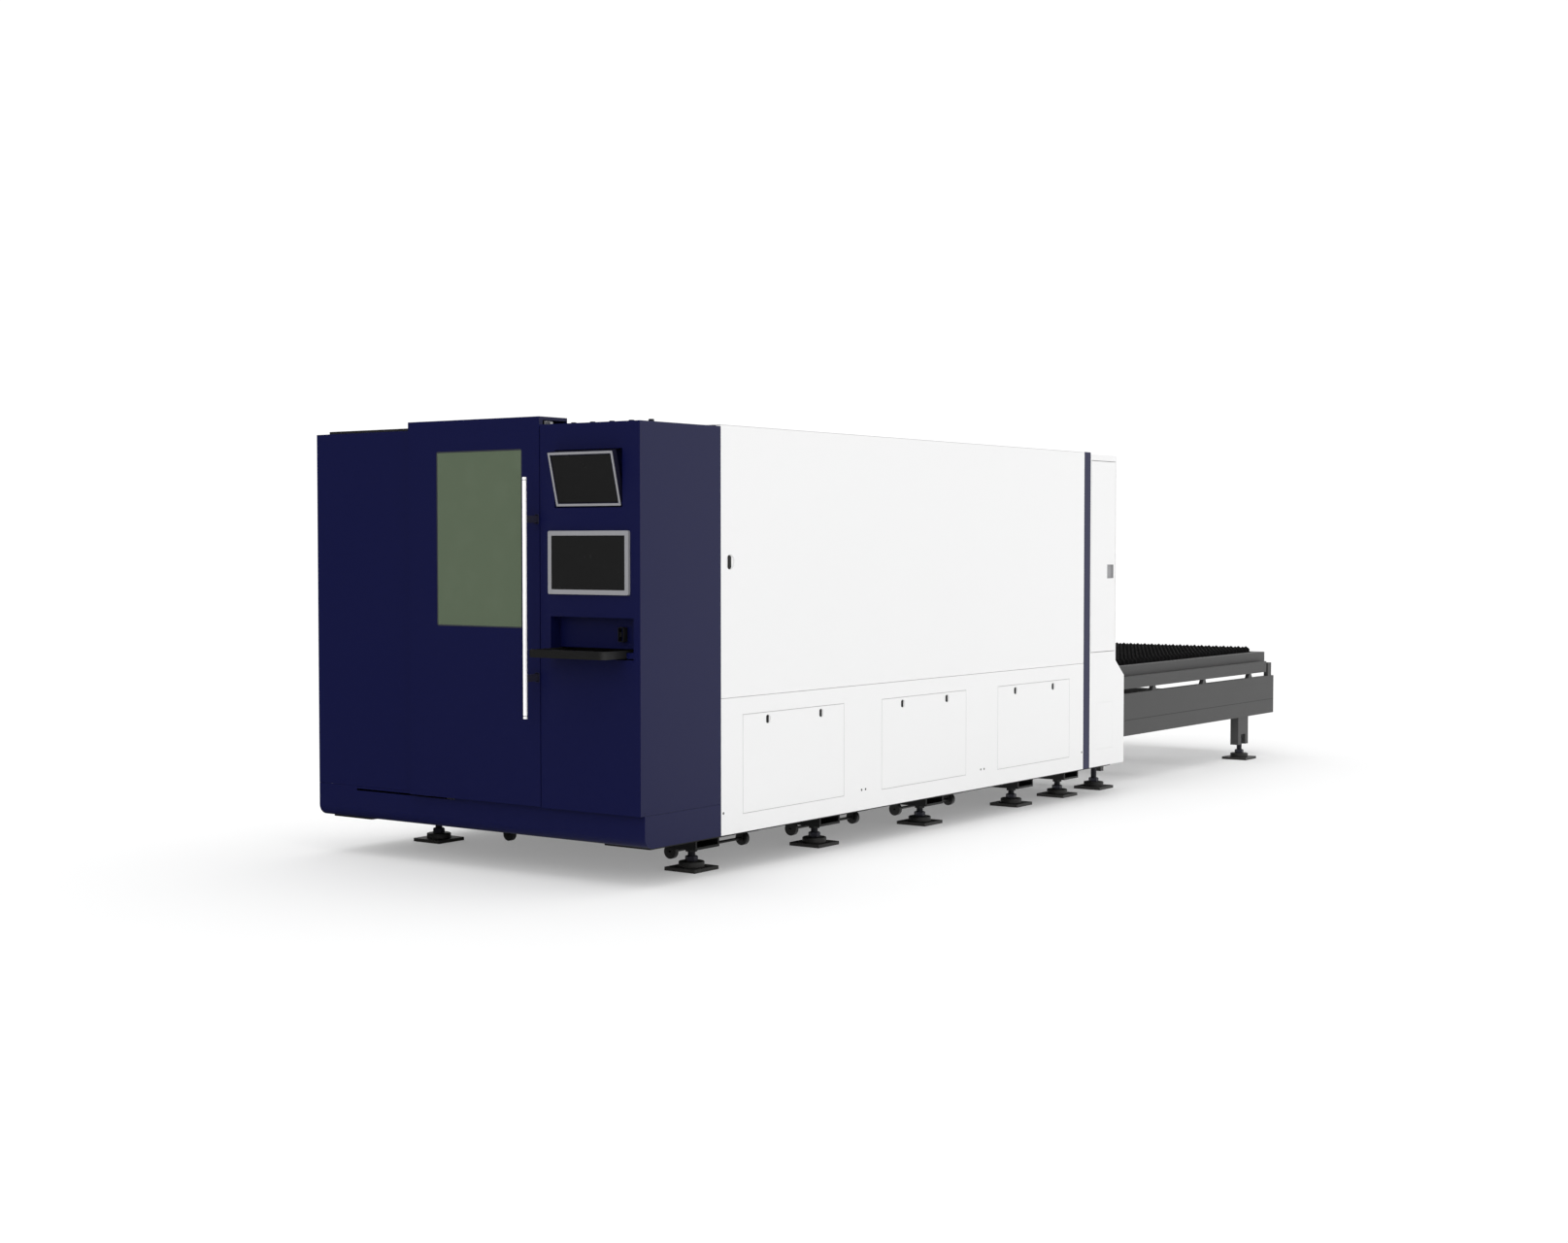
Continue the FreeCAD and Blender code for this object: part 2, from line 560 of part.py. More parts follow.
def door_carriages():
    """Two carriages under the hood that run on the roof rail."""
    solids = []
    top = FRONT_Z + HOOD_UP - SHEET
    for x in CARRIAGE_XS:
        block = box(x - 60.0, x + 60.0, RAIL_Y - 28.0, RAIL_Y + 28.0, FRONT_Z + 2.0, top)
        groove = box(x - 61.0, x + 61.0, RAIL_Y - RAIL_W / 2 - SLIDE, RAIL_Y + RAIL_W / 2 + SLIDE,
                     FRONT_Z, FRONT_Z + RAIL_H + SLIDE)
        solids.append(block.cut(groove))
    guide_z = sum(SLOT_Z) / 2.0
    x0 = TONGUE_X - TONGUE_HALF
    x1 = TONGUE_X + TONGUE_HALF
    arm = box(x0, x1, DOOR_BACK_Y - 8.0, DOOR_BACK_Y, LEDGE_Z + 3.0 + SHEET, LEDGE_Z + 40.0)
    drop = box(x0, x1, DOOR_BACK_Y, DOOR_BACK_Y + 3.0, guide_z - 4.0, LEDGE_Z + 40.0)
    tongue = box(x0, x1, DOOR_BACK_Y, SHEET + 8.0, guide_z - 4.0, guide_z + 4.0)
    solids.append(fuse([arm, drop, tongue]))
    save("door_carriages", solids)


def door_track():
    rail = box(-HALF_W + 20.0, DOOR_X[1] - 20.0, RAIL_Y - RAIL_W / 2, RAIL_Y + RAIL_W / 2, FRONT_Z,
               FRONT_Z + RAIL_H)
    save("door_track", [rail])


# ---- roof and cladding ----
def roof_bolts():
    count = 2 * int((HALF_W - 20.0) / BOLT_PITCH)
    first = -BOLT_PITCH * (count - 1) / 2.0
    solids = [hexagon_z(first + i * BOLT_PITCH, BOLT_Y, FRONT_Z, BOLT_H, BOLT_AF) for i in range(count)]
    save("roof_bolts", solids)


def roof_panel():
    save("roof_panel", [box(-HALF_W, HALF_W, CABIN_D, BAYS_END - JOIN, ROOF_Z - 3.0, ROOF_Z)])


def dish_x(y, z, radius, depth, floor):
    """Round dish pressed into a sheet whose outer face is at x = HALF_W."""
    outer = rod_x(HALF_W - depth - floor, HALF_W, y, z, radius + floor)
    return outer, rod_x(HALF_W - depth, HALF_W + 1.0, y, z, radius)


def with_dish(solid, y, z, radius):
    outer, room = dish_x(y, z, radius, LATCH_DEPTH, LATCH_FLOOR)
    bore = rod_x(HALF_W - 2 * PANEL_D, HALF_W + 1.0, y, z, LATCH_SHAFT_R + RUN)
    return fuse([solid, outer]).cut(room).cut(bore)


def folded_panel(y0, y1, z0, z1):
    """Side panel on the right: a flat sheet with its four edges folded in."""
    outer = box(BED_OUT, HALF_W, y0, y1, z0, z1)
    return outer.cut(box(BED_OUT - 1.0, HALF_W - SHEET, y0 + SHEET, y1 - SHEET, z0 + SHEET, z1 - SHEET))


def side_panels():
    top = ROOF_Z - 3.0 - JOIN
    panel = folded_panel(CABIN_D + JOIN, BAYS_END - JOIN, SEAM_Z + JOIN, top)
    save("side_panel_left", [mirrored(panel)])
    save("side_panel_right", [with_dish(panel, *PANEL_LATCH)])


def door_middles():
    return [border + BAY / 2.0 - 5.0 for border in BORDERS[:-1]]


def rimmed(panel, y0, y1, z0, z1):
    """Cut a door opening and fold a rim round it."""
    rim = box(HALF_W - SHEET - RIM_D, HALF_W, y0 - SHEET, y1 + SHEET, z0 - SHEET, z1 + SHEET)
    hole = box(HALF_W - 2 * PANEL_D, HALF_W + 1.0, y0, y1, z0, z1)
    return fuse([panel, rim]).cut(hole)


def lower_cladding():
    panel = folded_panel(CABIN_D + JOIN, BAYS_END - JOIN, SKIRT_Z, SEAM_Z - JOIN)
    save("lower_cladding_left", [mirrored(panel)])
    for y in door_middles():
        y0 = y - DOOR_W / 2.0 - DOOR_GAP
        y1 = y + DOOR_W / 2.0 + DOOR_GAP
        z0 = SIDE_DOOR_Z[0] - DOOR_GAP
        z1 = SIDE_DOOR_Z[1] + DOOR_GAP
        panel = rimmed(panel, y0, y1, z0, z1)
        axis_z = SIDE_DOOR_Z[0] + PIVOT_IN
        panel = panel.cut(rod_y(HALF_W - PIVOT_IN, y0 - 2 * SHEET, y1 + 2 * SHEET, axis_z, PIVOT_R + RUN))
    save("lower_cladding_right", [panel])


def access_door(index, y):
    """Drop-down side door: a folded pan closed by a liner, with two latch dishes."""
    y0 = y - DOOR_W / 2.0
    y1 = y + DOOR_W / 2.0
    z0, z1 = SIDE_DOOR_Z
    inner = HALF_W - SIDE_DOOR_D
    pan = box(inner, HALF_W, y0, y1, z0, z1)
    pan = pan.cut(box(inner - 1.0, HALF_W - DOOR_SHEET, y0 + DOOR_SHEET, y1 - DOOR_SHEET,
                      z0 + DOOR_SHEET, z1 - DOOR_SHEET))
    liner = box(inner, inner + DOOR_SHEET, y0 + DOOR_SHEET, y1 - DOOR_SHEET, z0 + DOOR_SHEET, z1 - DOOR_SHEET)
    for side in (-LATCH_OFF, LATCH_OFF):
        pan = with_dish(pan, y + side, LATCH_Z, LATCH_DISH_R)
        liner = liner.cut(rod_x(inner - 1.0, inner + 2 * DOOR_SHEET, y + side, LATCH_Z, LATCH_SHAFT_R + RUN))
    pivot = rod_y(HALF_W - PIVOT_IN, y0 - 1.0, y1 + 1.0, z0 + PIVOT_IN, PIVOT_R + RUN)
    save("access_door_%d" % index, [pan.cut(pivot), liner])


def latch(node, y, z, width, height, cam_y, cam_z):
    """Quarter-turn latch: wing in its dish, spindle, and cam behind the door."""
    wing = box(HALF_W - LATCH_DEPTH + SLIDE, HALF_W, y - width / 2, y + width / 2,
               z - height / 2, z + height / 2)
    edges = [e for e in wing.Edges if e.BoundBox.XLength > 1.0]
    wing = wing.makeFillet(width / 2.0 - 0.5, edges)
    cam_x = HALF_W - SIDE_DOOR_D - SLIDE
    shaft = rod_x(cam_x - 3.7, HALF_W - LATCH_DEPTH + 1.0, y, z, LATCH_SHAFT_R)
    cam = box(cam_x - 3.7, cam_x, min(y - 7.0, y + cam_y), max(y + 7.0, y + cam_y),
              min(z - 7.0, z + cam_z), max(z + 7.0, z + cam_z))
    save(node, [fuse([wing, shaft, cam])])


def access_doors():
    number = 1
    for index, y in enumerate(door_middles(), start=1):
        access_door(index, y)
        for side in (-1.0, 1.0):
            latch("door_latch_%d" % number, y + side * LATCH_OFF, LATCH_Z, 12.0, 37.0, -side * CAM_REACH, 0.0)
            number += 1


def panel_latch():
    y, z, _ = PANEL_LATCH
    latch("panel_latch", y, z, 20.0, 63.0, 0.0, -60.0)


def door_pivots():
    """Lugs behind the cladding with the stub pins that the doors turn on."""
    solids = []
    x = HALF_W - PIVOT_IN
    lug_x = (x - 8.0, HALF_W - SHEET)
    for y in door_middles():
        z = SIDE_DOOR_Z[0] + PIVOT_IN
        for side in (-1.0, 1.0):
            edge = y + side * DOOR_W / 2.0
            rim = edge + side * (DOOR_GAP + SHEET)
            ends = sorted((rim, rim + side * LUG_L))
            lug = box(lug_x[0], lug_x[1], ends[0], ends[1], z - LUG_H, z + LUG_H)
            pin = sorted((rim, edge - side * PIN_IN))
            solids.append(fuse([lug, rod_y(x, pin[0], pin[1], z, PIVOT_R)]))
    y = REAR_DOOR[0] + PIVOT_IN
    for edge, side in ((REAR_DOOR[2], -1.0), (REAR_DOOR[3], 1.0)):
        rim = edge + side * (DOOR_GAP + SHEET)
        ends = sorted((rim, rim + side * LUG_L))
        lug = box(lug_x[0], lug_x[1], y - LUG_H, y + LUG_H, ends[0], ends[1])
        pin = sorted((rim, edge - side * PIN_IN))
        solids.append(fuse([lug, rod_z(x, y, pin[0], pin[1], PIVOT_R)]))
    save("door_pivots", solids)


def rear_arch():
    """Dark portal between the bays and the rear hood: a channel open to the inside."""
    y0 = BAYS_END
    y1 = ARCH_END - JOIN
    arch = box(-HALF_W, HALF_W, y0, y1, SKIRT_Z, ROOF_Z)
    arch = arch.cut(box(-BED_OUT, BED_OUT, y0 - 1.0, y1 + 1.0, SKIRT_Z - 1.0, ROOF_Z - PANEL_D))
    room = box(-HALF_W + SHEET, HALF_W - SHEET, y0 + SHEET, y1 - SHEET, SKIRT_Z + SHEET, ROOF_Z - SHEET)
    save("rear_arch", [arch.cut(room)])


def hood_profile(inset, front, bottom):
    back = HOOD_END - inset
    low_back = BACK_END - inset
    return [(front, bottom), (low_back, bottom), (low_back, BREAK_Z[0] - inset / 2.0),
            (back, BREAK_Z[1] - inset / 2.0), (back, HOOD_TOP - inset), (front, HOOD_TOP - inset)]


def rear_shell():
    """Rear hood: flares at the bottom, with the mouth that the pallets pass through."""
    shell = profile_x(hood_profile(0.0, ARCH_END, SKIRT_Z), -HALF_W, HALF_W)
    shell = shell.cut(profile_x(hood_profile(SHEET, ARCH_END - 10.0, SKIRT_Z - 10.0),
                                -HALF_W + SHEET, HALF_W - SHEET))
    shell = shell.cut(box(-MOUTH[0], MOUTH[0], HOOD_END - 20.0, BACK_END + 20.0, MOUTH[1], MOUTH[2]))
    y0, y1, z0, z1 = REAR_DOOR
    shell = rimmed(shell, y0 - DOOR_GAP, y1 + DOOR_GAP, z0 - DOOR_GAP, z1 + DOOR_GAP)
    shell = shell.cut(rod_z(HALF_W - PIVOT_IN, y0 + PIVOT_IN, z0 - 4 * SHEET, z1 + 4 * SHEET, PIVOT_R + RUN))
    cy0, cy1, cz0, cz1 = LOW_COVER
    shell = shell.cut(box(HALF_W - 2 * SHEET, HALF_W + 1.0, cy0, cy1, cz0, cz1))
    lap = 8.0
    frame = box(HALF_W - 2 * SHEET, HALF_W - SHEET, cy0 - lap, cy1 + lap, cz0 - lap, cz1 + lap)
    frame = frame.cut(box(HALF_W - 3 * SHEET, HALF_W, cy0 + lap, cy1 - lap, cz0 + lap, cz1 - lap))
    cover = box(HALF_W - SHEET, HALF_W, cy0 + JOIN, cy1 - JOIN, cz0 + JOIN, cz1 - JOIN)
    flange = box(BED_OUT, HALF_W - SHEET, ARCH_END, ARCH_END + SHEET, SKIRT_Z, HOOD_TOP - SHEET)
    save("rear_shell", [fuse([shell] + both_sides([flange])), frame, cover])


def rear_side_door():
    """Tall service door in the rear hood, with a square recessed grip."""
    y0, y1, z0, z1 = REAR_DOOR
    inner = HALF_W - SIDE_DOOR_D
    pan = box(inner, HALF_W, y0, y1, z0, z1)
    pan = pan.cut(box(inner - 1.0, HALF_W - DOOR_SHEET, y0 + DOOR_SHEET, y1 - DOOR_SHEET,
                      z0 + DOOR_SHEET, z1 - DOOR_SHEET))
    gy0, gy1, gz0, gz1 = GRIP
    cup = box(HALF_W - GRIP_D - DOOR_SHEET, HALF_W, gy0 - DOOR_SHEET, gy1 + DOOR_SHEET,
              gz0 - DOOR_SHEET, gz1 + DOOR_SHEET)
    pan = fuse([pan, cup]).cut(box(HALF_W - GRIP_D, HALF_W + 1.0, gy0, gy1, gz0, gz1))
    liner = box(inner, inner + DOOR_SHEET, y0 + DOOR_SHEET, y1 - DOOR_SHEET, z0 + DOOR_SHEET, z1 - DOOR_SHEET)
    pivot = rod_z(HALF_W - PIVOT_IN, y0 + PIVOT_IN, z0 - 1.0, z1 + 1.0, PIVOT_R + RUN)
    save("rear_side_door", [pan.cut(pivot), liner])


# ---- pallet rails, table and pallets ----


def rail_channel(y0, y1, z0):
    """Channel rail on the right, open towards the middle of the machine."""
    channel = box(RAIL_CH_IN, BED_IN, y0, y1, z0, z0 + RAIL_CH_H)
    return channel.cut(box(RAIL_CH_IN - 1.0, WEB_X, y0 - 1.0, y1 + 1.0,
                           z0 + RAIL_CH_T, z0 + RAIL_CH_H - RAIL_CH_T))


def rails():
    levels = (RAIL_CH_Z, RAIL_CH_Z - LEVEL_DROP)
    save("bed_rails", both_sides([rail_channel(BED_RAILS[0], BED_RAILS[1], z) for z in levels]))
    ends = (TABLE_END - 130.0, TABLE_END - 20.0)
    table = [rail_channel(TABLE_FRONT, end, z) for end, z in zip(ends, levels)]
    save("table_rails", both_sides(table))


def table_frame():
    """Shuttle table: side beams, brackets under the upper rails, cross tubes and legs."""
    outer = BED_IN + BEAM_WEB
    beam = box(RAIL_CH_IN - 2.0, outer, TABLE_FRONT, TABLE_END, BEAM_Z[0], BEAM_Z[1])
    beam = beam.cut(box(RAIL_CH_IN - 3.0, BED_IN, TABLE_FRONT - 1.0, TABLE_END + 1.0,
                        BEAM_Z[0] + 8.0, BEAM_Z[1] - 8.0))
    side = [beam]
    for i in range(BRACKET_N):
        y = BRACKET_ENDS[0] + i * (BRACKET_ENDS[1] - BRACKET_ENDS[0]) / (BRACKET_N - 1)
        section = [(y - 34.0, BEAM_Z[1]), (y + 34.0, BEAM_Z[1]), (y + 16.0, RAIL_CH_Z), (y - 16.0, RAIL_CH_Z)]
        side.append(profile_x(section, RAIL_CH_IN + 4.0, BED_IN))
    side.append(box(RAIL_CH_IN + 4.0, outer, STOP_Y[0], STOP_Y[1], BEAM_Z[1], STOP_Z))
    for y0, y1, y in TABLE_LEGS:
        leg = box(TABLE_LEG_X[0], TABLE_LEG_X[1], y0, y1, TABLE_LEG_Z, BEAM_Z[0])
        notch = box(TABLE_LEG_X[0] - 1.0, TABLE_LEG_X[1] + 1.0, max(y - 40.0, y0 - 1.0), y + 40.0,
                    TABLE_LEG_Z - 1.0, TABLE_LEG_Z + TABLE_CUT_H)
        bore = rod_z(sum(TABLE_LEG_X) / 2.0, y, TABLE_LEG_Z, TABLE_LEG_Z + TABLE_CUT_H + 45.0, SCREW_R + RUN)
        side.append(leg.cut(notch).cut(bore))
    cross = [tube_x(-BED_IN, BED_IN, y, y + CROSS_L, CROSS_Z[0], CROSS_Z[1]) for y in CROSS_YS]
    save("table_frame", both_sides(side) + cross)


def exchange_drive():
    """Geared motor and cross shaft that pull the pallet chains at the rear of the table."""
    levels_z = RAIL_CH_Z - LEVEL_DROP
    bearings = []
    reach = RAIL_CH_IN + 26.0
    for x in (reach - 20.0, -reach):
        block = box(x, x + 20.0, DRIVE_Y - 32.0, DRIVE_Y + 32.0, DRIVE_Z - 32.0, levels_z)
        bearings.append(block.cut(rod_x(x - 1.0, x + 21.0, DRIVE_Y, DRIVE_Z, DRIVE_R)))
    shaft = rod_x(-reach, reach, DRIVE_Y, DRIVE_Z, DRIVE_R)
    gearbox = box(90.0, 210.0, DRIVE_Y - 60.0, CROSS_YS[-1], DRIVE_Z - 60.0, DRIVE_Z + 60.0)
    gearbox = gearbox.cut(rod_x(89.0, 211.0, DRIVE_Y, DRIVE_Z, DRIVE_R))
    motor = rod_x(210.0, 440.0, DRIVE_Y, DRIVE_Z, MOTOR_R)
    motor = motor.cut(rod_x(209.0, 441.0, DRIVE_Y, DRIVE_Z, DRIVE_R))
    save("exchange_drive", [shaft, fuse([gearbox, motor])] + bearings)


def pallet_frame():
    """Upper pallet where it rests on the table: frame, cross bars, wheel lugs and wheels."""
    y0 = PALLET_Y
    y1 = PALLET_Y + PALLET_L
    z0 = PALLET_Z
    z1 = PALLET_Z + PALLET_H
    inner = PALLET_HALF - PALLET_BAR
    ring = box(-PALLET_HALF, PALLET_HALF, y0, y1, z0, z1).cut(
        box(-inner, inner, y0 + PALLET_BAR, y1 - PALLET_BAR, z0 - 1.0, z1 + 1.0))
    pieces = [ring]
    for k in range(1, 6):
        y = y0 + PALLET_L * k / 6.0
        pieces.append(box(-inner, inner, y - 30.0, y + 30.0, z0, z0 + CROSS_H))
    ledge = 14.0
    for x in (-inner, inner - ledge):
        pieces.append(box(x, x + ledge, y0 + PALLET_BAR, y1 - PALLET_BAR, z0, z0 + CROSS_H))
    axle_z = RAIL_CH_Z + RAIL_CH_H / 2.0
    wheels = []
    for offset in PALLET_WHEELS:
        y = y0 + offset
        lug = box(PALLET_HALF - LUG_T, PALLET_HALF, y - 30.0, y + 30.0, z0 - LUG_DROP, z0)
        pieces += both_sides([lug])
        wheel_x = RAIL_CH_IN + WHEEL_IN
        axle = rod_x(PALLET_HALF, wheel_x + WHEEL_W, y, axle_z, 9.0)
        wheel = rod_x(wheel_x, wheel_x + WHEEL_W, y, axle_z, PALLET_WHEEL_R)
        wheels += both_sides([fuse([axle, wheel])])
    return [fuse(pieces)] + wheels


def slat(y):
    """Saw-toothed support slat: pointed teeth along its top edge."""
    half = PALLET_HALF - PALLET_BAR - 4.0
    z0 = PALLET_Z + CROSS_H
    top = z0 + SLAT_H
    teeth = int(2.0 * half / TOOTH_PITCH)
    pitch = 2.0 * half / teeth
    points = [Vector(-half, y, z0), Vector(half, y, z0)]
    for k in range(teeth, 0, -1):
        right = -half + k * pitch
        points.append(Vector(right, y, top - TOOTH))
        points.append(Vector(right - pitch / 2.0, y, top))
    points.append(Vector(-half, y, top - TOOTH))
    face = Part.Face(Part.makePolygon(points + points[:1]))
    return face.extrude(Vector(0, SLAT_T, 0))


def pallets():
    frame = pallet_frame()
    first = PALLET_Y + PALLET_L / 2.0 - SLAT_PITCH * (SLAT_N - 1) / 2.0 - SLAT_T / 2.0
    model = slat(first)
    slats = [moved(model, dy=i * SLAT_PITCH) for i in range(SLAT_N)]
    save("upper_pallet_frame", frame)
    save("upper_pallet_slats", slats)
    save("lower_pallet_frame", [moved(s, dy=-PALLET_TRAVEL, dz=-LEVEL_DROP) for s in frame])
    save("lower_pallet_slats", [moved(s, dy=-PALLET_TRAVEL, dz=-LEVEL_DROP) for s in slats])


# ---- gantry and head ----


def gantry_rails():
    y0, y1 = GUIDE_YS
    top = BED_Z + GUIDE_H
    guide = box(GUIDE_X - GUIDE_W / 2, GUIDE_X + GUIDE_W / 2, y0, y1, BED_Z, top)
    rack = box(RACK_X[0], RACK_X[1], y0, y1, BED_Z, top)
    save("gantry_rails", both_sides([guide, rack]))


def gantry_beam():
    """Cross beam on four guide blocks, with two rails along its front face."""
    y0 = GANTRY_Y - GANTRY_D / 2.0
    y1 = GANTRY_Y + GANTRY_D / 2.0
    solids = [tube_x(-GANTRY_HALF, GANTRY_HALF, y0, y1, GANTRY_Z[0], GANTRY_Z[1], 10.0)]
    for z in X_RAIL_ZS:
        solids.append(box(-X_RAIL_HALF, X_RAIL_HALF, y0 - X_RAIL, y0, z - X_RAIL / 2, z + X_RAIL / 2))
    blocks = []
    for y in (y0 + 10.0, y1 - 90.0):
        block = box(GUIDE_X - 32.0, GUIDE_X + 32.0, y, y + 80.0, BED_Z + 4.0, GANTRY_Z[0])
        groove = box(GUIDE_X - GUIDE_W / 2 - SLIDE, GUIDE_X + GUIDE_W / 2 + SLIDE, y - 1.0, y + 81.0,
                     BED_Z, BED_Z + GUIDE_H + SLIDE)
        blocks.append(block.cut(groove))
    save("gantry_beam", solids + both_sides(blocks))


def x_carriage():
    """Plate that carries the head along the beam, on four blocks."""
    face = GANTRY_Y - GANTRY_D / 2.0
    back = face - X_RAIL - 15.0
    plate = box(-140.0, 140.0, back - PLATE_T, back, GANTRY_Z[0], GANTRY_Z[1])
    solids = [plate]
    for z in X_RAIL_ZS:
        for x in (-95.0, 95.0):
            block = box(x - 35.0, x + 35.0, back, face - 3.0, z - 22.0, z + 22.0)
            groove = box(x - 36.0, x + 36.0, face - X_RAIL - SLIDE, face, z - X_RAIL / 2 - SLIDE,
                         z + X_RAIL / 2 + SLIDE)
            solids.append(block.cut(groove))
    front = back - PLATE_T
    for x in Z_RAIL_XS:
        solids.append(box(x - Z_RAIL / 2, x + Z_RAIL / 2, front - Z_RAIL, front, GANTRY_Z[0], GANTRY_Z[1]))
    save("x_carriage", solids)


def cutting_head():
    """Z slide with the laser head: body, collimator and conical nozzle."""
    front = GANTRY_Y - GANTRY_D / 2.0 - X_RAIL - 15.0 - PLATE_T
    slide_back = front - 2.0
    slide_front = front - Z_RAIL - 14.0
    slide = box(-90.0, 90.0, slide_front, slide_back, 1010.0, 1150.0)
    for x in Z_RAIL_XS:
        slide = slide.cut(box(x - Z_RAIL / 2 - SLIDE, x + Z_RAIL / 2 + SLIDE, front - Z_RAIL - SLIDE,
                              front, 1000.0, 1160.0))
    y = slide_front - HEAD_R - 8.0
    clamp = box(-HEAD_R, HEAD_R, y, slide_front, 1030.0, 1130.0)
    body = rod_z(0.0, y, 1000.0, 1230.0, HEAD_R)
    collimator = rod_z(0.0, y, 1230.0, 1330.0, 28.0)
    neck = rod_z(0.0, y, 960.0, 1000.0, 26.0)
    nozzle = Part.makeCone(4.0, 20.0, 960.0 - NOZZLE_TIP_Z, Vector(0.0, y, NOZZLE_TIP_Z), Vector(0, 0, 1))
    save("cutting_head", [fuse([slide, clamp, body, collimator, neck, nozzle])])


# ---- slag carts ----
def slag_cart(index, y):
    """Low slag tray with axle hangers and a pull bar at its outer end."""
    z0, z1 = CART_Z
    tray = box(-CART_HALF_X, CART_HALF_X, y - CART_HALF_Y, y + CART_HALF_Y, z0, z1)
    wall = 3.0
    tray = tray.cut(box(-CART_HALF_X + wall, CART_HALF_X - wall, y - CART_HALF_Y + wall,
                        y + CART_HALF_Y - wall, z0 + wall, z1 + 1.0))
    pieces = [tray]
    for x in (-CART_WHEEL_X, CART_WHEEL_X):
        for side in (-1.0, 1.0):
            hy = y + side * (CART_WHEEL_Y - CART_WHEEL_W / 2.0 - 8.0)
            hanger = box(x - 16.0, x + 16.0, hy - 4.0, hy + 4.0, CART_WHEEL_R - 14.0, z0)
            pieces.append(hanger.cut(rod_y(x, hy - 5.0, hy + 5.0, CART_WHEEL_R, CART_AXLE_R + RUN)))
    for side in (-1.0, 1.0):
        arm_y = y + side * 90.0
        pieces.append(box(CART_HALF_X, CART_HALF_X + 45.0, arm_y - 6.0, arm_y + 6.0, 114.0, 126.0))
    pieces.append(box(CART_HALF_X + 33.0, CART_HALF_X + 45.0, y - 96.0, y + 96.0, 114.0, 126.0))
    save("slag_cart_%d" % index, [fuse(pieces)])
    for name, x in (("inner", -CART_WHEEL_X), ("outer", CART_WHEEL_X)):
        parts = [rod_y(x, y - CART_WHEEL_Y, y + CART_WHEEL_Y, CART_WHEEL_R, CART_AXLE_R)]
        for side in (-1.0, 1.0):
            wy = y + side * CART_WHEEL_Y
            parts.append(rod_y(x, wy - CART_WHEEL_W / 2, wy + CART_WHEEL_W / 2, CART_WHEEL_R, CART_WHEEL_R))
        save("cart_%d_%s_wheels" % (index, name), [fuse(parts)])


def main():
    os.makedirs("parts", exist_ok=True)
    base_frame()
    cabin_frame()
    leg_boxes()
    foot_plates()
    foot_screws()
    front_plinth()
    front_left_panel()
    front_roof()
    control_cabinet()
    upper_monitor()
    lower_monitor()
    keyboard_tray()
    keyboard()
    door_panel()
    door_window()
    door_handle()
    handle_brackets()
    door_carriages()
    door_track()
    roof_bolts()
    roof_panel()
    side_panels()
    lower_cladding()
    access_doors()
    panel_latch()
    door_pivots()
    rear_arch()
    rear_shell()
    rear_side_door()
    rails()
    table_frame()
    exchange_drive()
    pallets()
    gantry_rails()
    gantry_beam()
    x_carriage()
    cutting_head()
    for index, y in enumerate(CART_YS, start=1):
        slag_cart(index, y)


main()
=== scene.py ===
"""Finishes for a covered sheet-metal laser cutter with a shuttle table.

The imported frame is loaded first. Each operator adds one group of pieces to it,
and the last ones dress the frame's own parts and set the stage.
"""

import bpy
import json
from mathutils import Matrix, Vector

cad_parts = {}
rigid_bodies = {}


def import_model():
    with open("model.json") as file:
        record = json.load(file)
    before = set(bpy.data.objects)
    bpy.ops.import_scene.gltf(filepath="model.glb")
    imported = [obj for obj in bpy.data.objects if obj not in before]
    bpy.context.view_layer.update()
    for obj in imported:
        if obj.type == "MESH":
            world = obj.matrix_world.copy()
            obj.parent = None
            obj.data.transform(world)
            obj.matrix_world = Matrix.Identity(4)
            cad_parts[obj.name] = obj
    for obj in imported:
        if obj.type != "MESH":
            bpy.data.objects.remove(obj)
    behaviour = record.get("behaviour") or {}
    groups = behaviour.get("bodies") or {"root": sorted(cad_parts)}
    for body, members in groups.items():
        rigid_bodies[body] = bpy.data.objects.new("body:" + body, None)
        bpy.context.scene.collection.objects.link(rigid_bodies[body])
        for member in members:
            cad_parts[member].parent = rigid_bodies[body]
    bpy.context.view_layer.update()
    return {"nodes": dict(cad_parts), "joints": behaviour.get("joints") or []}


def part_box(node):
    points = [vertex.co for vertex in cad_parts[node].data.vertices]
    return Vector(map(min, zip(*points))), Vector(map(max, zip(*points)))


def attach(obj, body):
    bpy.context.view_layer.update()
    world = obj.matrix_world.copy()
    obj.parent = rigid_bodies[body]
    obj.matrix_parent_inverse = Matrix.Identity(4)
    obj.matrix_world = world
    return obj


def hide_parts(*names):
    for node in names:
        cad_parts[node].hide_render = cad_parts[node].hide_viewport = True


bl_info = {
    "name": "Laser cutter finishes",
    "version": (1, 0, 0),
    "blender": (4, 5, 0),
    "location": "View3D > Sidebar > Laser cutter",
    "description": "Adds the screens, keys, threads, trims, paints and stage of a covered laser cutter",
    "category": "Object",
}

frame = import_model()

import json
import math

import bmesh
import bpy
import numpy as np
from bpy.props import FloatProperty, FloatVectorProperty, IntProperty, PointerProperty
from bpy.types import Operator, Panel, PropertyGroup

NODES = frame["nodes"]
JOINTS = {joint["name"]: joint for joint in frame["joints"]}
SIDE_DOORS = (1, 2, 3)
CARTS = (1, 2, 3)
LATCHES = range(1, 7)
RIGHT_FACE = max(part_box("side_panel_right")[1].x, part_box("rear_side_door")[1].x)

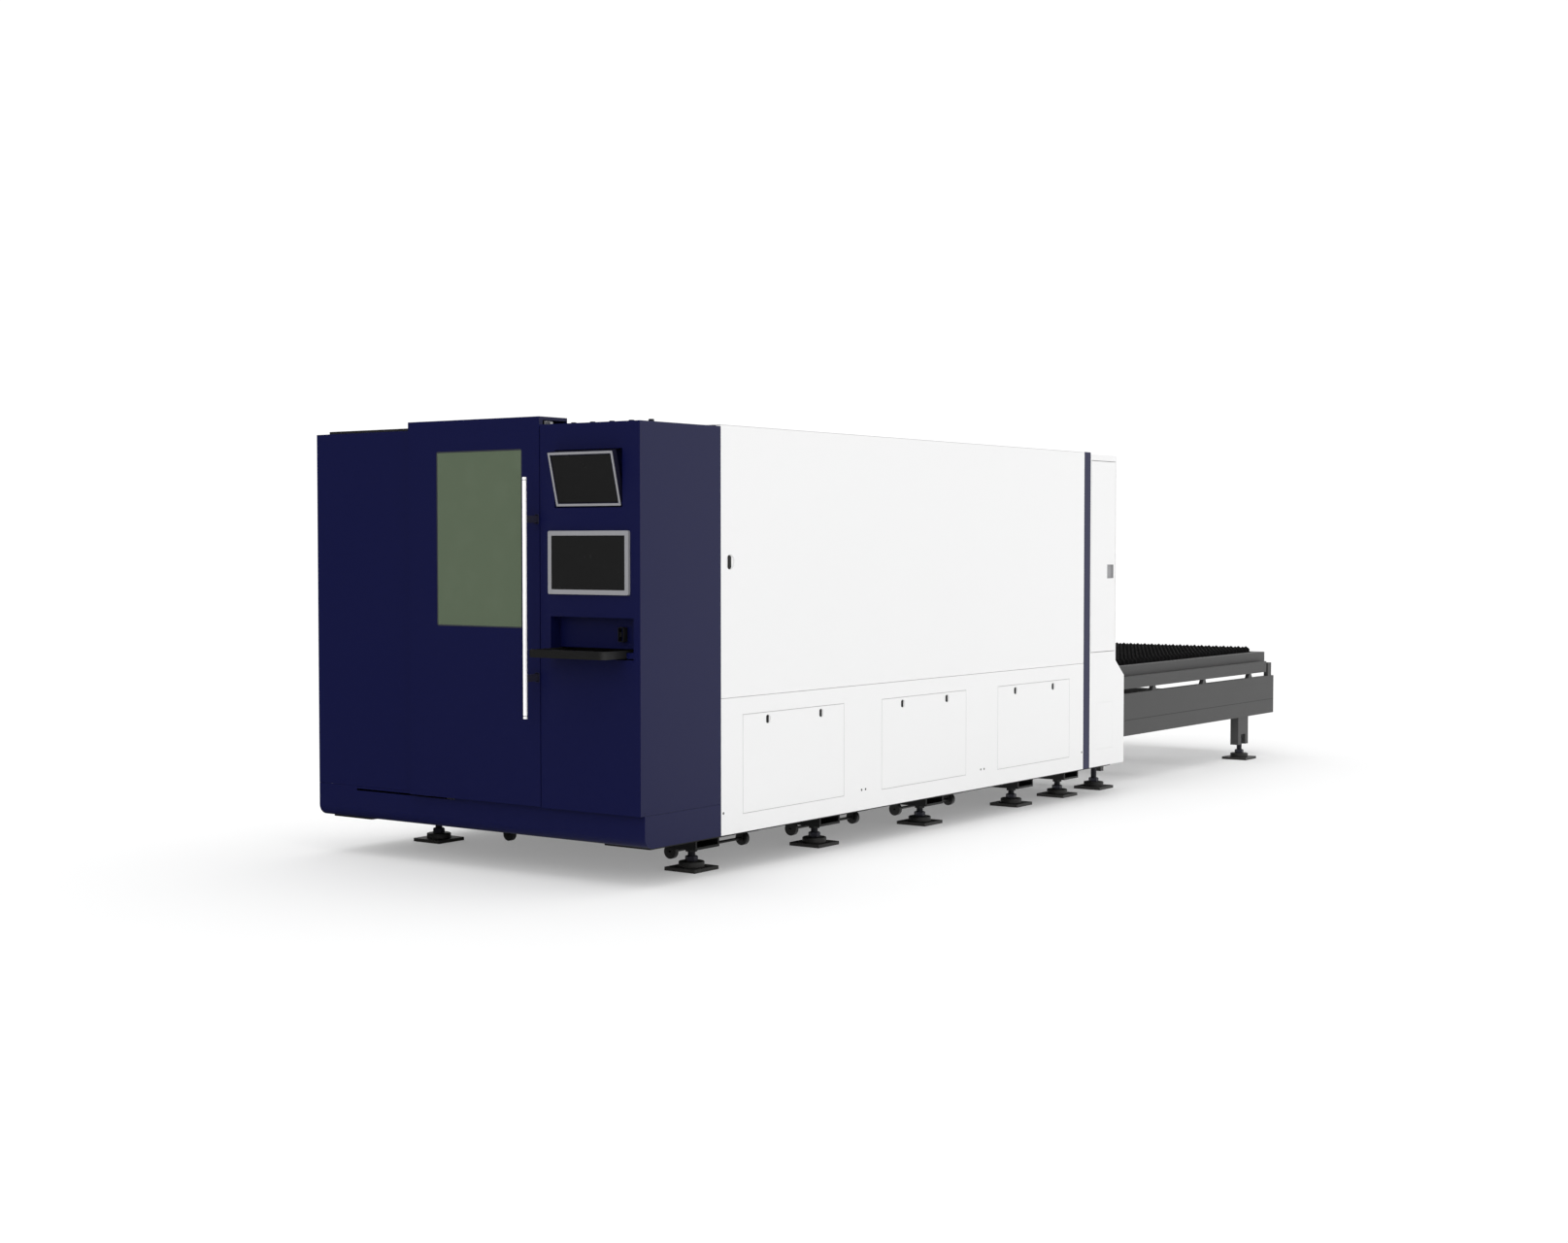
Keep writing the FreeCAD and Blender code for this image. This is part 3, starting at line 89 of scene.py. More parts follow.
# ---- sizes of the frame's own parts that the pieces are laid to, in metres ----
LOWER_RIM = 0.022  # width of the lower monitor's rim round its screen
LOWER_RECESS = 0.0019  # how far the back of the lower screen lies behind the rim
UPPER_RIM = 0.016  # width of the upper monitor's rim round its screen
UPPER_RECESS = 0.0014  # how far the back of the upper screen lies behind the rim
PIN_INSET = 0.012  # from the upper monitor's face and foot in to its tilt pin
NICHE_DEPTH = 0.070  # from the cabinet's front to the back of the keyboard niche
GLASS_LAP = 0.014  # how far the door's glass reaches behind the door on each side
ARM_HALF_HEIGHT = 0.017  # half the height of one arm of the door handle
BED_SCREW_TOP = 0.092  # underside of the nuts that lock the levelling screws to the bed's legs
TABLE_SCREW_TOP = 0.164  # the same at the shuttle table's legs
BOLT_PITCH = 0.120  # distance between neighbouring roof bolts
DISH_DEPTH = 0.005  # depth of the dishes that the latches lie in
DOOR_MARGIN = 0.0145  # from the rear door's edge to the end of the rear shell
GRIP_INSET = 0.080  # from the end of the rear shell to the middle of the grip
GRIP_HEIGHT = 1.430  # height of the middle of the grip
CLADDING_GAP = 0.001  # gap at each end of the low side cladding
MARK_HEIGHT = 0.300  # height of the small screws in the low side cladding
MARK_APART = 0.019  # from a bay border to the screw on either side of it
MARK_RADIUS = 0.0065  # radius of those screw heads
BEAM_GROOVE_SHADE_HEIGHT = 0.421  # height of the groove along the table's lower beam, where a dark line of painted shade runs
BEAM_GROOVE_SHADE_HALF = 0.0028  # half the width of that painted shade line

# Local directions (across, up, out) of a piece that faces the operator, the rear or the right side
TO_FRONT = ((1.0, 0.0, 0.0), (0.0, 0.0, 1.0), (0.0, -1.0, 0.0))
TO_REAR = ((1.0, 0.0, 0.0), (0.0, 0.0, 1.0), (0.0, 1.0, 0.0))
TO_RIGHT = ((0.0, 1.0, 0.0), (0.0, 0.0, 1.0), (1.0, 0.0, 0.0))


# ---- settings ----
def colour(label, text, default):
    """Colour setting."""
    return FloatVectorProperty(
        name=label, description=text, subtype="COLOR", size=3, min=0.0, max=1.0, default=default)


def length(label, text, default):
    """Length setting, in metres."""
    return FloatProperty(
        name=label, description=text, subtype="DISTANCE", unit="LENGTH", precision=4, default=default)


def angle_of(label, text, default):
    """Angle setting, given in degrees."""
    return FloatProperty(
        name=label, description=text, subtype="ANGLE", unit="ROTATION", default=math.radians(default))


def strength_of(label, text, default):
    """Brightness setting: a plain number from 0 up."""
    return FloatProperty(name=label, description=text, default=default, min=0.0)


class CutterPaints(PropertyGroup):
    """Colours of the machine's finishes."""

    navy: colour("Cabin paint", "Powder coat of the front cabin and the rear arch", (0.0022, 0.0036, 0.0455))
    white: colour("Cladding paint", "Powder coat of the side and rear cladding", (0.850, 0.850, 0.850))
    table: colour("Table paint", "Paint of the shuttle table, its rails and pallets", (0.056, 0.056, 0.056))
    black: colour("Bed paint", "Paint of the bed, legs, feet and slag carts", (0.0075, 0.0075, 0.008))
    glass: colour("Safety glass", "Tint of the door's laser safety glass", (0.099, 0.128, 0.084))
    screen: colour("Screen", "Dark glass of the monitors", (0.0115, 0.0115, 0.0115))
    bezel: colour("Monitor bezel", "Plastic round the screens", (0.24, 0.24, 0.255))
    plastic: colour("Black plastic", "Keyboard shelf, keys and latches", (0.0105, 0.0105, 0.0105))
    copper: colour("Nozzle copper", "Tip of the cutting head", (0.62, 0.27, 0.13))


class CutterSizes(PropertyGroup):
    """Sizes of the added pieces."""

    screen_gap: length("Screen gap", "Gap between a screen and its bezel", 0.0006)
    seal_gap: length("Seal gap", "Gap round the side doors that the seal lies in", 0.0035)
    seal_sunk: length("Seal depth", "How far the seal lies below the side's face", 0.0012)
    bezel: length("Upper bezel width", "Width of the frame on the upper monitor", 0.0115)
    key_pitch: length("Key pitch", "Distance between neighbouring keys", 0.019)
    key_height: length("Key height", "Height of a key above the keyboard", 0.0045)
    gasket: length("Gasket width", "Rubber bead round the door's glass", 0.007)
    thread_pitch: length("Thread pitch", "Pitch of the levelling screws", 0.004)
    thread_depth: length("Thread depth", "Depth of the levelling screws' thread", 0.0016)
    washer: length("Washer radius", "Radius of the washers under the roof bolts", 0.0175)
    latch_width: length("Latch plate width", "Width of the plate behind a latch wing", 0.018)
    latch_height: length("Latch plate height", "Height of the plate behind a latch wing", 0.0415)
    turns: IntProperty(
        name="Round steps", description="Steps round a turned piece", default=40, min=12, max=96)


class CutterStage(PropertyGroup):
    """Camera, sky and floor."""

    eye: FloatVectorProperty(
        name="Camera", description="Place of the camera", subtype="TRANSLATION", unit="LENGTH", size=3,
        default=(7.2582, -11.2594, 1.6017))
    pan: angle_of("Pan", "Turn of the camera to the left", 35.757)
    tilt: angle_of("Tilt", "How far the camera looks down", 2.099)
    lens: FloatProperty(
        name="Lens", description="Focal length on a 36 mm wide sensor", subtype="DISTANCE_CAMERA",
        default=48.203, min=10.0, max=200.0)
    sky: strength_of("Sky", "Brightness of the studio for plain surfaces", 1.03)
    bright: strength_of("Bright side", "Brightness that shows in gloss at the rear right", 1.15)
    shade: strength_of("Dark side", "Brightness that shows in gloss at the front left", 0.03)
    fill: strength_of("Front fill", "Strength of the wide light from the front", 0.75)
    sun: strength_of("Overhead light", "Strength of the wide light from above", 0.38)


# ---- surfaces ----
def grid(points, wrap_rows=False, wrap_columns=False):
    """Faces of a grid of points (rows, columns, 3): each face joins two neighbours along both parameters."""
    rows, columns = points.shape[:2]
    index = np.arange(rows * columns).reshape(rows, columns)
    if wrap_rows:
        index = np.concatenate([index, index[:1]])
    if wrap_columns:
        index = np.concatenate([index, index[:, :1]], axis=1)
    faces = np.stack([index[:-1, :-1], index[1:, :-1], index[1:, 1:], index[:-1, 1:]], axis=-1)
    return points.reshape(-1, 3), faces.reshape(-1, 4)


def joined(patches):
    """Several patches as one list of points and one of faces."""
    counts = np.cumsum([0] + [len(points) for points, _ in patches])
    points = np.concatenate([patch[0] for patch in patches])
    return points, np.concatenate([faces + start for (_, faces), start in zip(patches, counts)])


def repeated(patch, offsets):
    """The same patch at each offset: its points plus every offset, its faces shifted by whole copies."""
    points, faces = patch
    offsets = np.asarray(offsets, float).reshape(-1, 1, 3)
    copies = np.arange(len(offsets)).reshape(-1, 1, 1) * len(points)
    return (points[None] + offsets).reshape(-1, 3), (faces[None] + copies).reshape(-1, 4)


def laid(patch, origin, directions):
    """A patch drawn as (across, up, out) carried into the frame: each point is the origin plus each of its
    coordinates times that coordinate's direction."""
    points, faces = patch
    return points @ np.array(directions, float) + np.asarray(origin, float), faces


def moved(patch, offset):
    """A patch with the offset added to each of its points."""
    points, faces = patch
    return points + np.array(offset), faces


def capped(rings):
    """Closed surface: rings of points joined in their order, with the first and the last one drawn in to a
    point on the third axis."""
    ends = [rings[i:i + 1] * np.array([0.0, 0.0, 1.0]) for i in (0, -1)]
    return grid(np.concatenate([ends[0], rings, ends[1]]), wrap_columns=True)


def node_points(name):
    """Points of one of the frame's parts, as rows of X, Y and Z."""
    mesh = NODES[name].data
    points = np.empty(len(mesh.vertices) * 3)
    mesh.vertices.foreach_get("co", points)
    return points.reshape(-1, 3)


def outline(half_width, half_height, radius, steps=6):
    """Rounded rectangle: four quarter circles of the given radius, centred that far inside the corners."""
    angle = np.linspace(0.0, math.pi / 2.0, steps)[None, :] + np.arange(4)[:, None] * math.pi / 2.0
    sign = np.array([[1, 1], [-1, 1], [-1, -1], [1, -1]], float)[:, None, :]
    centre = sign * (np.array([half_width, half_height]) - radius)
    return (centre + radius * np.stack([np.cos(angle), np.sin(angle)], axis=-1)).reshape(-1, 2)


def rounded_rings(half_width, half_height, radius, levels, steps):
    """One rounded rectangle for each (inset, height) level, drawn in by the inset at that height. Its corner
    radius shrinks by the inset too, down to 0.3 mm."""
    rings = []
    for inset, height in levels:
        ring = outline(half_width - inset, half_height - inset, max(radius - inset, 0.0003), steps)
        rings.append(np.column_stack([ring, np.full(len(ring), height)]))
    return np.array(rings)


def plate(half_width, half_height, radius, levels, steps=6):
    """Closed plate: rounded rectangles at the (inset, height) levels, drawn in to a point at both ends."""
    return capped(rounded_rings(half_width, half_height, radius, levels, steps))


def bead(half_width, half_height, radius, section, steps=8):
    """Closed ring: a section of (inset, height) points carried round a rounded rectangle."""
    rings = rounded_rings(half_width, half_height, radius, section, steps)
    return grid(rings, wrap_rows=True, wrap_columns=True)


def turned(profile, steps):
    """Surface of revolution: a profile of (radius, height) points turned about the third axis."""
    profile = np.asarray(profile, float)
    angle = np.linspace(0.0, 2.0 * math.pi, steps, endpoint=False)
    points = np.empty((len(profile), steps, 3))
    points[..., 0] = profile[:, :1] * np.cos(angle)
    points[..., 1] = profile[:, :1] * np.sin(angle)
    points[..., 2] = profile[:, 1:]
    return grid(points, wrap_columns=True)


def threaded(root, depth, pitch, low, high, steps=28):
    """Screw thread: the radius rises and falls by depth once a pitch, and the wave climbs a pitch a turn."""
    heights = np.linspace(low, high, int((high - low) / pitch * 5))[:, None]
    angle = np.linspace(0.0, 2.0 * math.pi, steps, endpoint=False)[None, :]
    wave = np.abs(2.0 * ((heights / pitch - angle / (2.0 * math.pi)) % 1.0) - 1.0)
    radius = root + depth * wave
    return capped(np.stack([radius * np.cos(angle), radius * np.sin(angle), heights + 0.0 * angle], axis=-1))


def hexagon_head(across, height, chamfer, steps=36):
    """Bolt head: a hexagon's radius up the flanks, cut back at the top by a cone.

    The hexagon's radius is half its width across flats over the cosine of the angle from the nearest flat."""
    angle = np.linspace(0.0, 2.0 * math.pi, steps, endpoint=False)
    flat = across / 2.0 / np.cos((angle + math.pi / 6.0) % (math.pi / 3.0) - math.pi / 6.0)
    rise = np.array([0.0, height - chamfer, height - chamfer * 0.5, height - chamfer * 0.15, height])
    cone = across / 2.0 * np.array([1.3, 1.16, 1.08, 0.99, 0.90])
    radius = np.minimum(flat[None, :], cone[:, None])
    heights = rise[:, None]
    return capped(np.stack([radius * np.cos(angle), radius * np.sin(angle), heights + 0.0 * angle], axis=-1))


def add_piece(name, patches, body, finish, crease=35.0):
    """Makes one mesh of the patches, closes its seams and poles, and lets it ride on a body."""
    points, faces = joined(patches)
    mesh = bpy.data.meshes.new(name)
    mesh.from_pydata(points.tolist(), [], faces.tolist())
    shape = bmesh.new()
    shape.from_mesh(mesh)
    bmesh.ops.remove_doubles(shape, verts=shape.verts, dist=1e-6)
    bmesh.ops.recalc_face_normals(shape, faces=shape.faces)
    shape.to_mesh(mesh)
    shape.free()
    mesh.polygons.foreach_set("use_smooth", np.ones(len(mesh.polygons), bool))
    mesh.set_sharp_from_angle(angle=math.radians(crease))
    mesh.materials.append(finish)
    piece = bpy.data.objects.new(name, mesh)
    bpy.context.scene.collection.objects.link(piece)
    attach(piece, body)
    return piece


# ---- shared effects ----
def new_group(name, inputs, outputs):
    """Node group with (name, kind, default) inputs and (name, kind) outputs."""
    group = bpy.data.node_groups.new(name, "ShaderNodeTree")
    kinds = {"float": "NodeSocketFloat", "color": "NodeSocketColor", "vector": "NodeSocketVector"}
    for label, kind, default in inputs:
        socket = group.interface.new_socket(label, in_out="INPUT", socket_type=kinds[kind])
        if kind == "float":
            socket.default_value = default
        elif kind == "color":
            socket.default_value = (*default, 1.0)
    for label, kind in outputs:
        group.interface.new_socket(label, in_out="OUTPUT", socket_type=kinds[kind])
    return group, group.nodes.new("NodeGroupInput"), group.nodes.new("NodeGroupOutput")


def node(tree, kind, **settings):
    """New node of that kind with its settings."""
    made = tree.nodes.new(kind)
    for key, value in settings.items():
        setattr(made, key, value)
    return made


def wire(tree, source, target):
    """Link from an output socket to an input socket."""
    tree.links.new(source, target)


def feed(tree, value, socket):
    """Gives an input socket a plain number, a colour, or a link from another socket."""
    if isinstance(value, (int, float)):
        socket.default_value = value
    elif isinstance(value, tuple):
        socket.default_value = (*value, 1.0)
    else:
        wire(tree, value, socket)


def arithmetic(tree, operation, first, second=0.0):
    """Math node whose inputs are sockets or plain numbers."""
    made = node(tree, "ShaderNodeMath", operation=operation)
    feed(tree, first, made.inputs[0])
    feed(tree, second, made.inputs[1])
    return made.outputs[0]


def noise(tree, place, scale, detail=3.0, rough=0.5):
    """Noise from 0 to 1, with its scale in features a metre."""
    made = node(tree, "ShaderNodeTexNoise")
    made.inputs["Detail"].default_value = detail
    made.inputs["Roughness"].default_value = rough
    wire(tree, place, made.inputs["Vector"])
    feed(tree, scale, made.inputs["Scale"])
    return made.outputs["Fac"]


def ramp(tree, value, low, high, out_low=0.0, out_high=1.0):
    """Smooth step from out_low to out_high while the value goes from low to high."""
    made = node(tree, "ShaderNodeMapRange", interpolation_type="SMOOTHSTEP")
    for label, number in zip(("From Min", "From Max", "To Min", "To Max"), (low, high, out_low, out_high)):
        feed(tree, number, made.inputs[label])
    wire(tree, value, made.inputs["Value"])
    return made.outputs["Result"]


def blend(tree, mask, first, second):
    """Mixed colour: the first where the mask is 0, the second where it is 1."""
    made = node(tree, "ShaderNodeMix", data_type="RGBA", blend_type="MIX")
    for place, value in zip((0, 6, 7), (mask, first, second)):
        feed(tree, value, made.inputs[place])
    return made.outputs[2]


def coordinates(tree, place):
    """The X, Y and Z of a place, as a node's outputs."""
    split = node(tree, "ShaderNodeSeparateXYZ")
    wire(tree, place, split.inputs[0])
    return split.outputs


def toned(tree, base, factor):
    """The base colour made brighter or darker by a factor."""
    made = node(tree, "ShaderNodeHueSaturation")
    wire(tree, factor, made.inputs["Value"])
    wire(tree, base, made.inputs["Color"])
    return made.outputs["Color"]


def bump(tree, height, distance, strength=1.0):
    """Normal of a surface whose height varies by the distance, in metres."""
    made = node(tree, "ShaderNodeBump")
    made.inputs["Distance"].default_value = distance
    made.inputs["Strength"].default_value = strength
    wire(tree, height, made.inputs["Height"])
    return made.outputs["Normal"]


DUST = (0.32, 0.30, 0.27)


def powder_coat_group():
    """Powder coat: fine orange peel, broad unevenness, and a little floor dust low down."""
    tree, given, out = new_group(
        "Powder coat",
        [("Place", "vector", None), ("Paint", "color", (0.5, 0.5, 0.5)), ("Unevenness", "float", 0.05),
         ("Roughness", "float", 0.4), ("Dust", "float", 0.05), ("Dust top", "float", 0.5)],
        [("Color", "color"), ("Roughness", "float"), ("Height", "float")])
    place = given.outputs["Place"]
    broad = noise(tree, place, 0.9, 2.0)
    fine = noise(tree, place, 420.0, 1.0)
    grain = noise(tree, place, 60.0, 2.0)
    shift = arithmetic(tree, "SUBTRACT", broad, 0.5)
    shift = arithmetic(tree, "MULTIPLY", shift, given.outputs["Unevenness"])
    paint = toned(tree, given.outputs["Paint"], arithmetic(tree, "ADD", shift, 1.0))
    low = ramp(tree, coordinates(tree, place)["Z"], 0.0, given.outputs["Dust top"], 1.0, 0.0)
    dust = arithmetic(tree, "MULTIPLY", arithmetic(tree, "MULTIPLY", low, grain), given.outputs["Dust"])
    wire(tree, blend(tree, dust, paint, DUST), out.inputs["Color"])
    rough = arithmetic(tree, "ADD", given.outputs["Roughness"], arithmetic(tree, "MULTIPLY", shift, 1.5))
    rough = arithmetic(tree, "ADD", rough, arithmetic(tree, "MULTIPLY", dust, 0.8))
    wire(tree, rough, out.inputs["Roughness"])
    wire(tree, fine, out.inputs["Height"])
    return tree


def brushed_group():
    """Rolled or brushed metal: streaks drawn out by the Stretch input, with cloudy patches."""
    tree, given, out = new_group(
        "Brushed metal",
        [("Place", "vector", None), ("Metal", "color", (0.5, 0.5, 0.5)), ("Stretch", "vector", None),
         ("Streak", "float", 0.2), ("Roughness", "float", 0.4)],
        [("Color", "color"), ("Roughness", "float"), ("Height", "float")])
    scaled = node(tree, "ShaderNodeVectorMath", operation="MULTIPLY")
    wire(tree, given.outputs["Place"], scaled.inputs[0])
    wire(tree, given.outputs["Stretch"], scaled.inputs[1])
    streaks = noise(tree, scaled.outputs[0], 1.0, 4.0, 0.65)
    clouds = noise(tree, given.outputs["Place"], 5.0, 3.0)
    both = arithmetic(tree, "ADD", streaks, arithmetic(tree, "MULTIPLY", clouds, 0.6))
    shift = arithmetic(tree, "MULTIPLY", arithmetic(tree, "SUBTRACT", both, 0.8), given.outputs["Streak"])
    metal = toned(tree, given.outputs["Metal"], arithmetic(tree, "ADD", shift, 1.0))
    wire(tree, metal, out.inputs["Color"])
    rough = arithmetic(tree, "ADD", given.outputs["Roughness"], arithmetic(tree, "MULTIPLY", shift, 0.5))
    wire(tree, rough, out.inputs["Roughness"])
    wire(tree, streaks, out.inputs["Height"])
    return tree


def smudge_group():
    """Handled glass or plastic: soft patches that raise the roughness."""
    tree, given, out = new_group(
        "Smudges",
        [("Place", "vector", None), ("Tint", "color", (0.1, 0.1, 0.1)), ("Roughness", "float", 0.1),
         ("Amount", "float", 0.1), ("Grain", "float", 500.0)],
        [("Color", "color"), ("Roughness", "float"), ("Height", "float")])
    place = given.outputs["Place"]
    patches = ramp(tree, noise(tree, place, 7.0, 4.0), 0.45, 0.75)
    extra = arithmetic(tree, "MULTIPLY", patches, given.outputs["Amount"])
    wire(tree, arithmetic(tree, "ADD", given.outputs["Roughness"], extra), out.inputs["Roughness"])
    lighter = arithmetic(tree, "ADD", arithmetic(tree, "MULTIPLY", extra, 0.5), 1.0)
    wire(tree, toned(tree, given.outputs["Tint"], lighter), out.inputs["Color"])
    wire(tree, noise(tree, place, given.outputs["Grain"], 2.0), out.inputs["Height"])
    return tree


def line_group():
    """Mask of a straight line: full where the coordinate lies within half the width of the position."""
    tree, given, out = new_group(
        "Line", [("Coordinate", "float", 0.0), ("Position", "float", 0.0), ("Half width", "float", 0.001)],
        [("Mask", "float")])
    away = arithmetic(tree, "SUBTRACT", given.outputs["Coordinate"], given.outputs["Position"])
    away = arithmetic(tree, "ABSOLUTE", away)
    wire(tree, arithmetic(tree, "LESS_THAN", away, given.outputs["Half width"]), out.inputs["Mask"])
    return tree


EFFECTS = {
    "Powder coat": powder_coat_group,
    "Brushed metal": brushed_group,
    "Smudges": smudge_group,
    "Line": line_group,
}


def shared(name):
    """The node group of that name, made the first time that it is asked for."""
    return bpy.data.node_groups.get(name) or EFFECTS[name]()


# ---- finishes ----
def start_finish(name):
    """New material with its shader and the Object coordinates of its surface."""
    finish = bpy.data.materials.new(name)
    finish.use_nodes = True
    tree = finish.node_tree
    shader = tree.nodes["Principled BSDF"]
    place = node(tree, "ShaderNodeTexCoord").outputs["Object"]
    return finish, tree, shader, place


def effect(tree, name, place=None, **values):
    """One placed effect: the named group with its own values."""
    made = node(tree, "ShaderNodeGroup", node_tree=shared(name))
    if place is not None:
        wire(tree, place, made.inputs[0])
    for label, value in values.items():
        socket = made.inputs[label.replace("_", " ")]
        socket.default_value = (*value, 1.0) if socket.type == "RGBA" else value
    return made


def dress(tree, shader, made, relief, strength=0.3):
    """Feeds an effect's colour, roughness and height to the shader. The relief is in metres."""
    wire(tree, made.outputs["Color"], shader.inputs["Base Color"])
    wire(tree, made.outputs["Roughness"], shader.inputs["Roughness"])
    wire(tree, bump(tree, made.outputs["Height"], relief, strength), shader.inputs["Normal"])


def powder_finish(name, paint, roughness, gloss, dust=0.05, dust_top=0.5, unevenness=0.05):
    """Powder coat with its material, tree, shader, coordinates and placed effect."""
    finish, tree, shader, place = start_finish(name)
    made = effect(tree, "Powder coat", place, Paint=tuple(paint), Unevenness=unevenness, Roughness=roughness,
                  Dust=dust, Dust_top=dust_top)
    dress(tree, shader, made, 0.00006, 0.25)
    shader.inputs["Specular IOR Level"].default_value = gloss
    return finish, tree, shader, place, made


def metal_finish(name, metal, stretch, streak, roughness, metallic=1.0, relief=0.00008):
    """Streaked metal or paint with its material, tree, shader, coordinates and placed effect."""
    finish, tree, shader, place = start_finish(name)
    made = effect(tree, "Brushed metal", place, Metal=tuple(metal), Streak=streak, Roughness=roughness)
    made.inputs["Stretch"].default_value = stretch
    dress(tree, shader, made, relief)
    shader.inputs["Metallic"].default_value = metallic
    return finish, tree, shader, place, made


def smooth_finish(name, tint, roughness, amount, gloss=0.5, grain=500.0, relief=0.00004):
    """Handled plastic, rubber or glass, with smudges of the given amount."""
    finish, tree, shader, place = start_finish(name)
    made = effect(tree, "Smudges", place, Tint=tuple(tint), Roughness=roughness, Amount=amount, Grain=grain)
    dress(tree, shader, made, relief)
    shader.inputs["Specular IOR Level"].default_value = gloss
    return finish


def cladding_paint(paints):
    """White powder coat with small dark screw heads in pairs at the bay borders, low on the right side."""
    finish, tree, shader, place, made = powder_finish(
        "white_powder_coat", paints.white, roughness=0.45, gloss=0.3, dust=0.03, dust_top=0.45,
        unevenness=0.01)
    low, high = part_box("lower_cladding_right")
    bay = (high.y - low.y + 2.0 * CLADDING_GAP) / len(SIDE_DOORS)
    spot = coordinates(tree, place)
    along = arithmetic(tree, "ADD", spot["Y"], bay / 2.0 - (low.y - CLADDING_GAP))
    along = arithmetic(tree, "SUBTRACT", arithmetic(tree, "MODULO", along, bay), bay / 2.0)
    beside = arithmetic(tree, "SUBTRACT", arithmetic(tree, "ABSOLUTE", along), MARK_APART)
    above = arithmetic(tree, "SUBTRACT", spot["Z"], MARK_HEIGHT)
    squares = [arithmetic(tree, "MULTIPLY", side, side) for side in (beside, above)]
    away = arithmetic(tree, "SQRT", arithmetic(tree, "ADD", *squares))
    inside = arithmetic(tree, "LESS_THAN", away, MARK_RADIUS)
    right = arithmetic(tree, "GREATER_THAN", spot["X"], RIGHT_FACE - 0.0005)
    bays = arithmetic(tree, "LESS_THAN", spot["Y"], high.y + 0.03)
    mask = arithmetic(tree, "MULTIPLY", arithmetic(tree, "MULTIPLY", inside, right), bays)
    wire(tree, blend(tree, mask, made.outputs["Color"], (0.03, 0.03, 0.03)), shader.inputs["Base Color"])
    return finish


def table_paint(paints):
    """Grey paint over rolled sections, with a dark line of painted shade where the lower beam has a groove.
    """
    finish, tree, shader, place, made = metal_finish(
        "table_grey_paint", paints.table, (14.0, 0.9, 60.0), streak=0.35, roughness=0.5, metallic=0.0,
        relief=0.0001)
    shader.inputs["Specular IOR Level"].default_value = 0.25
    # painted shade: a dark line stands in for the shade in the groove along the lower beam, and the surface
    # has no groove cut in it
    groove_shade = effect(tree, "Line", Position=BEAM_GROOVE_SHADE_HEIGHT, Half_width=BEAM_GROOVE_SHADE_HALF)
    wire(tree, coordinates(tree, place)["Z"], groove_shade.inputs["Coordinate"])
    wire(tree, blend(tree, groove_shade.outputs["Mask"], made.outputs["Color"], (0.018, 0.018, 0.018)),
         shader.inputs["Base Color"])
    return finish


def slat_steel(_paints):
    """Dark rolled steel with brown spatter all over."""
    finish, tree, shader, place, made = metal_finish(
        "slat_steel", (0.011, 0.011, 0.0115), (40.0, 40.0, 4.0), streak=0.6, roughness=0.6, metallic=0.1,
        relief=0.0002)
    shader.inputs["Specular IOR Level"].default_value = 0.05
    spatter = ramp(tree, noise(tree, place, 160.0, 4.0), 0.58, 0.72)
    cover = arithmetic(tree, "MULTIPLY", spatter, 0.3)
    burnt = blend(tree, cover, made.outputs["Color"], (0.04, 0.030, 0.024))
    wire(tree, burnt, shader.inputs["Base Color"])
    return finish


def safety_glass(paints):
    """Tinted laser glass: mostly solid colour, a little see-through, with smudges."""
    finish = smooth_finish(
        "safety_glass", paints.glass, roughness=0.14, amount=0.10, gloss=0.35, grain=90.0, relief=0.00002)
    shader = finish.node_tree.nodes["Principled BSDF"]
    shader.inputs["Transmission Weight"].default_value = 0.12
    shader.inputs["IOR"].default_value = 1.5
    return finish


def painted(name, paint, **values):
    """Maker of a plain powder coat. The paint is a colour or the name of a colour setting."""
    return lambda paints: powder_finish(name, chosen(paints, paint), **values)[0]


def streaked(name, metal, stretch, **values):
    """Maker of a plain metal. The metal is a colour or the name of a colour setting."""
    return lambda paints: metal_finish(name, chosen(paints, metal), stretch, **values)[0]


def smooth(name, tint, **values):
    """Maker of a plain plastic, rubber or glass. The tint is a colour or the name of a colour setting."""
    return lambda paints: smooth_finish(name, chosen(paints, tint), **values)


def chosen(paints, shade):
    """The colour itself, or the setting that it names."""
    return getattr(paints, shade) if isinstance(shade, str) else shade


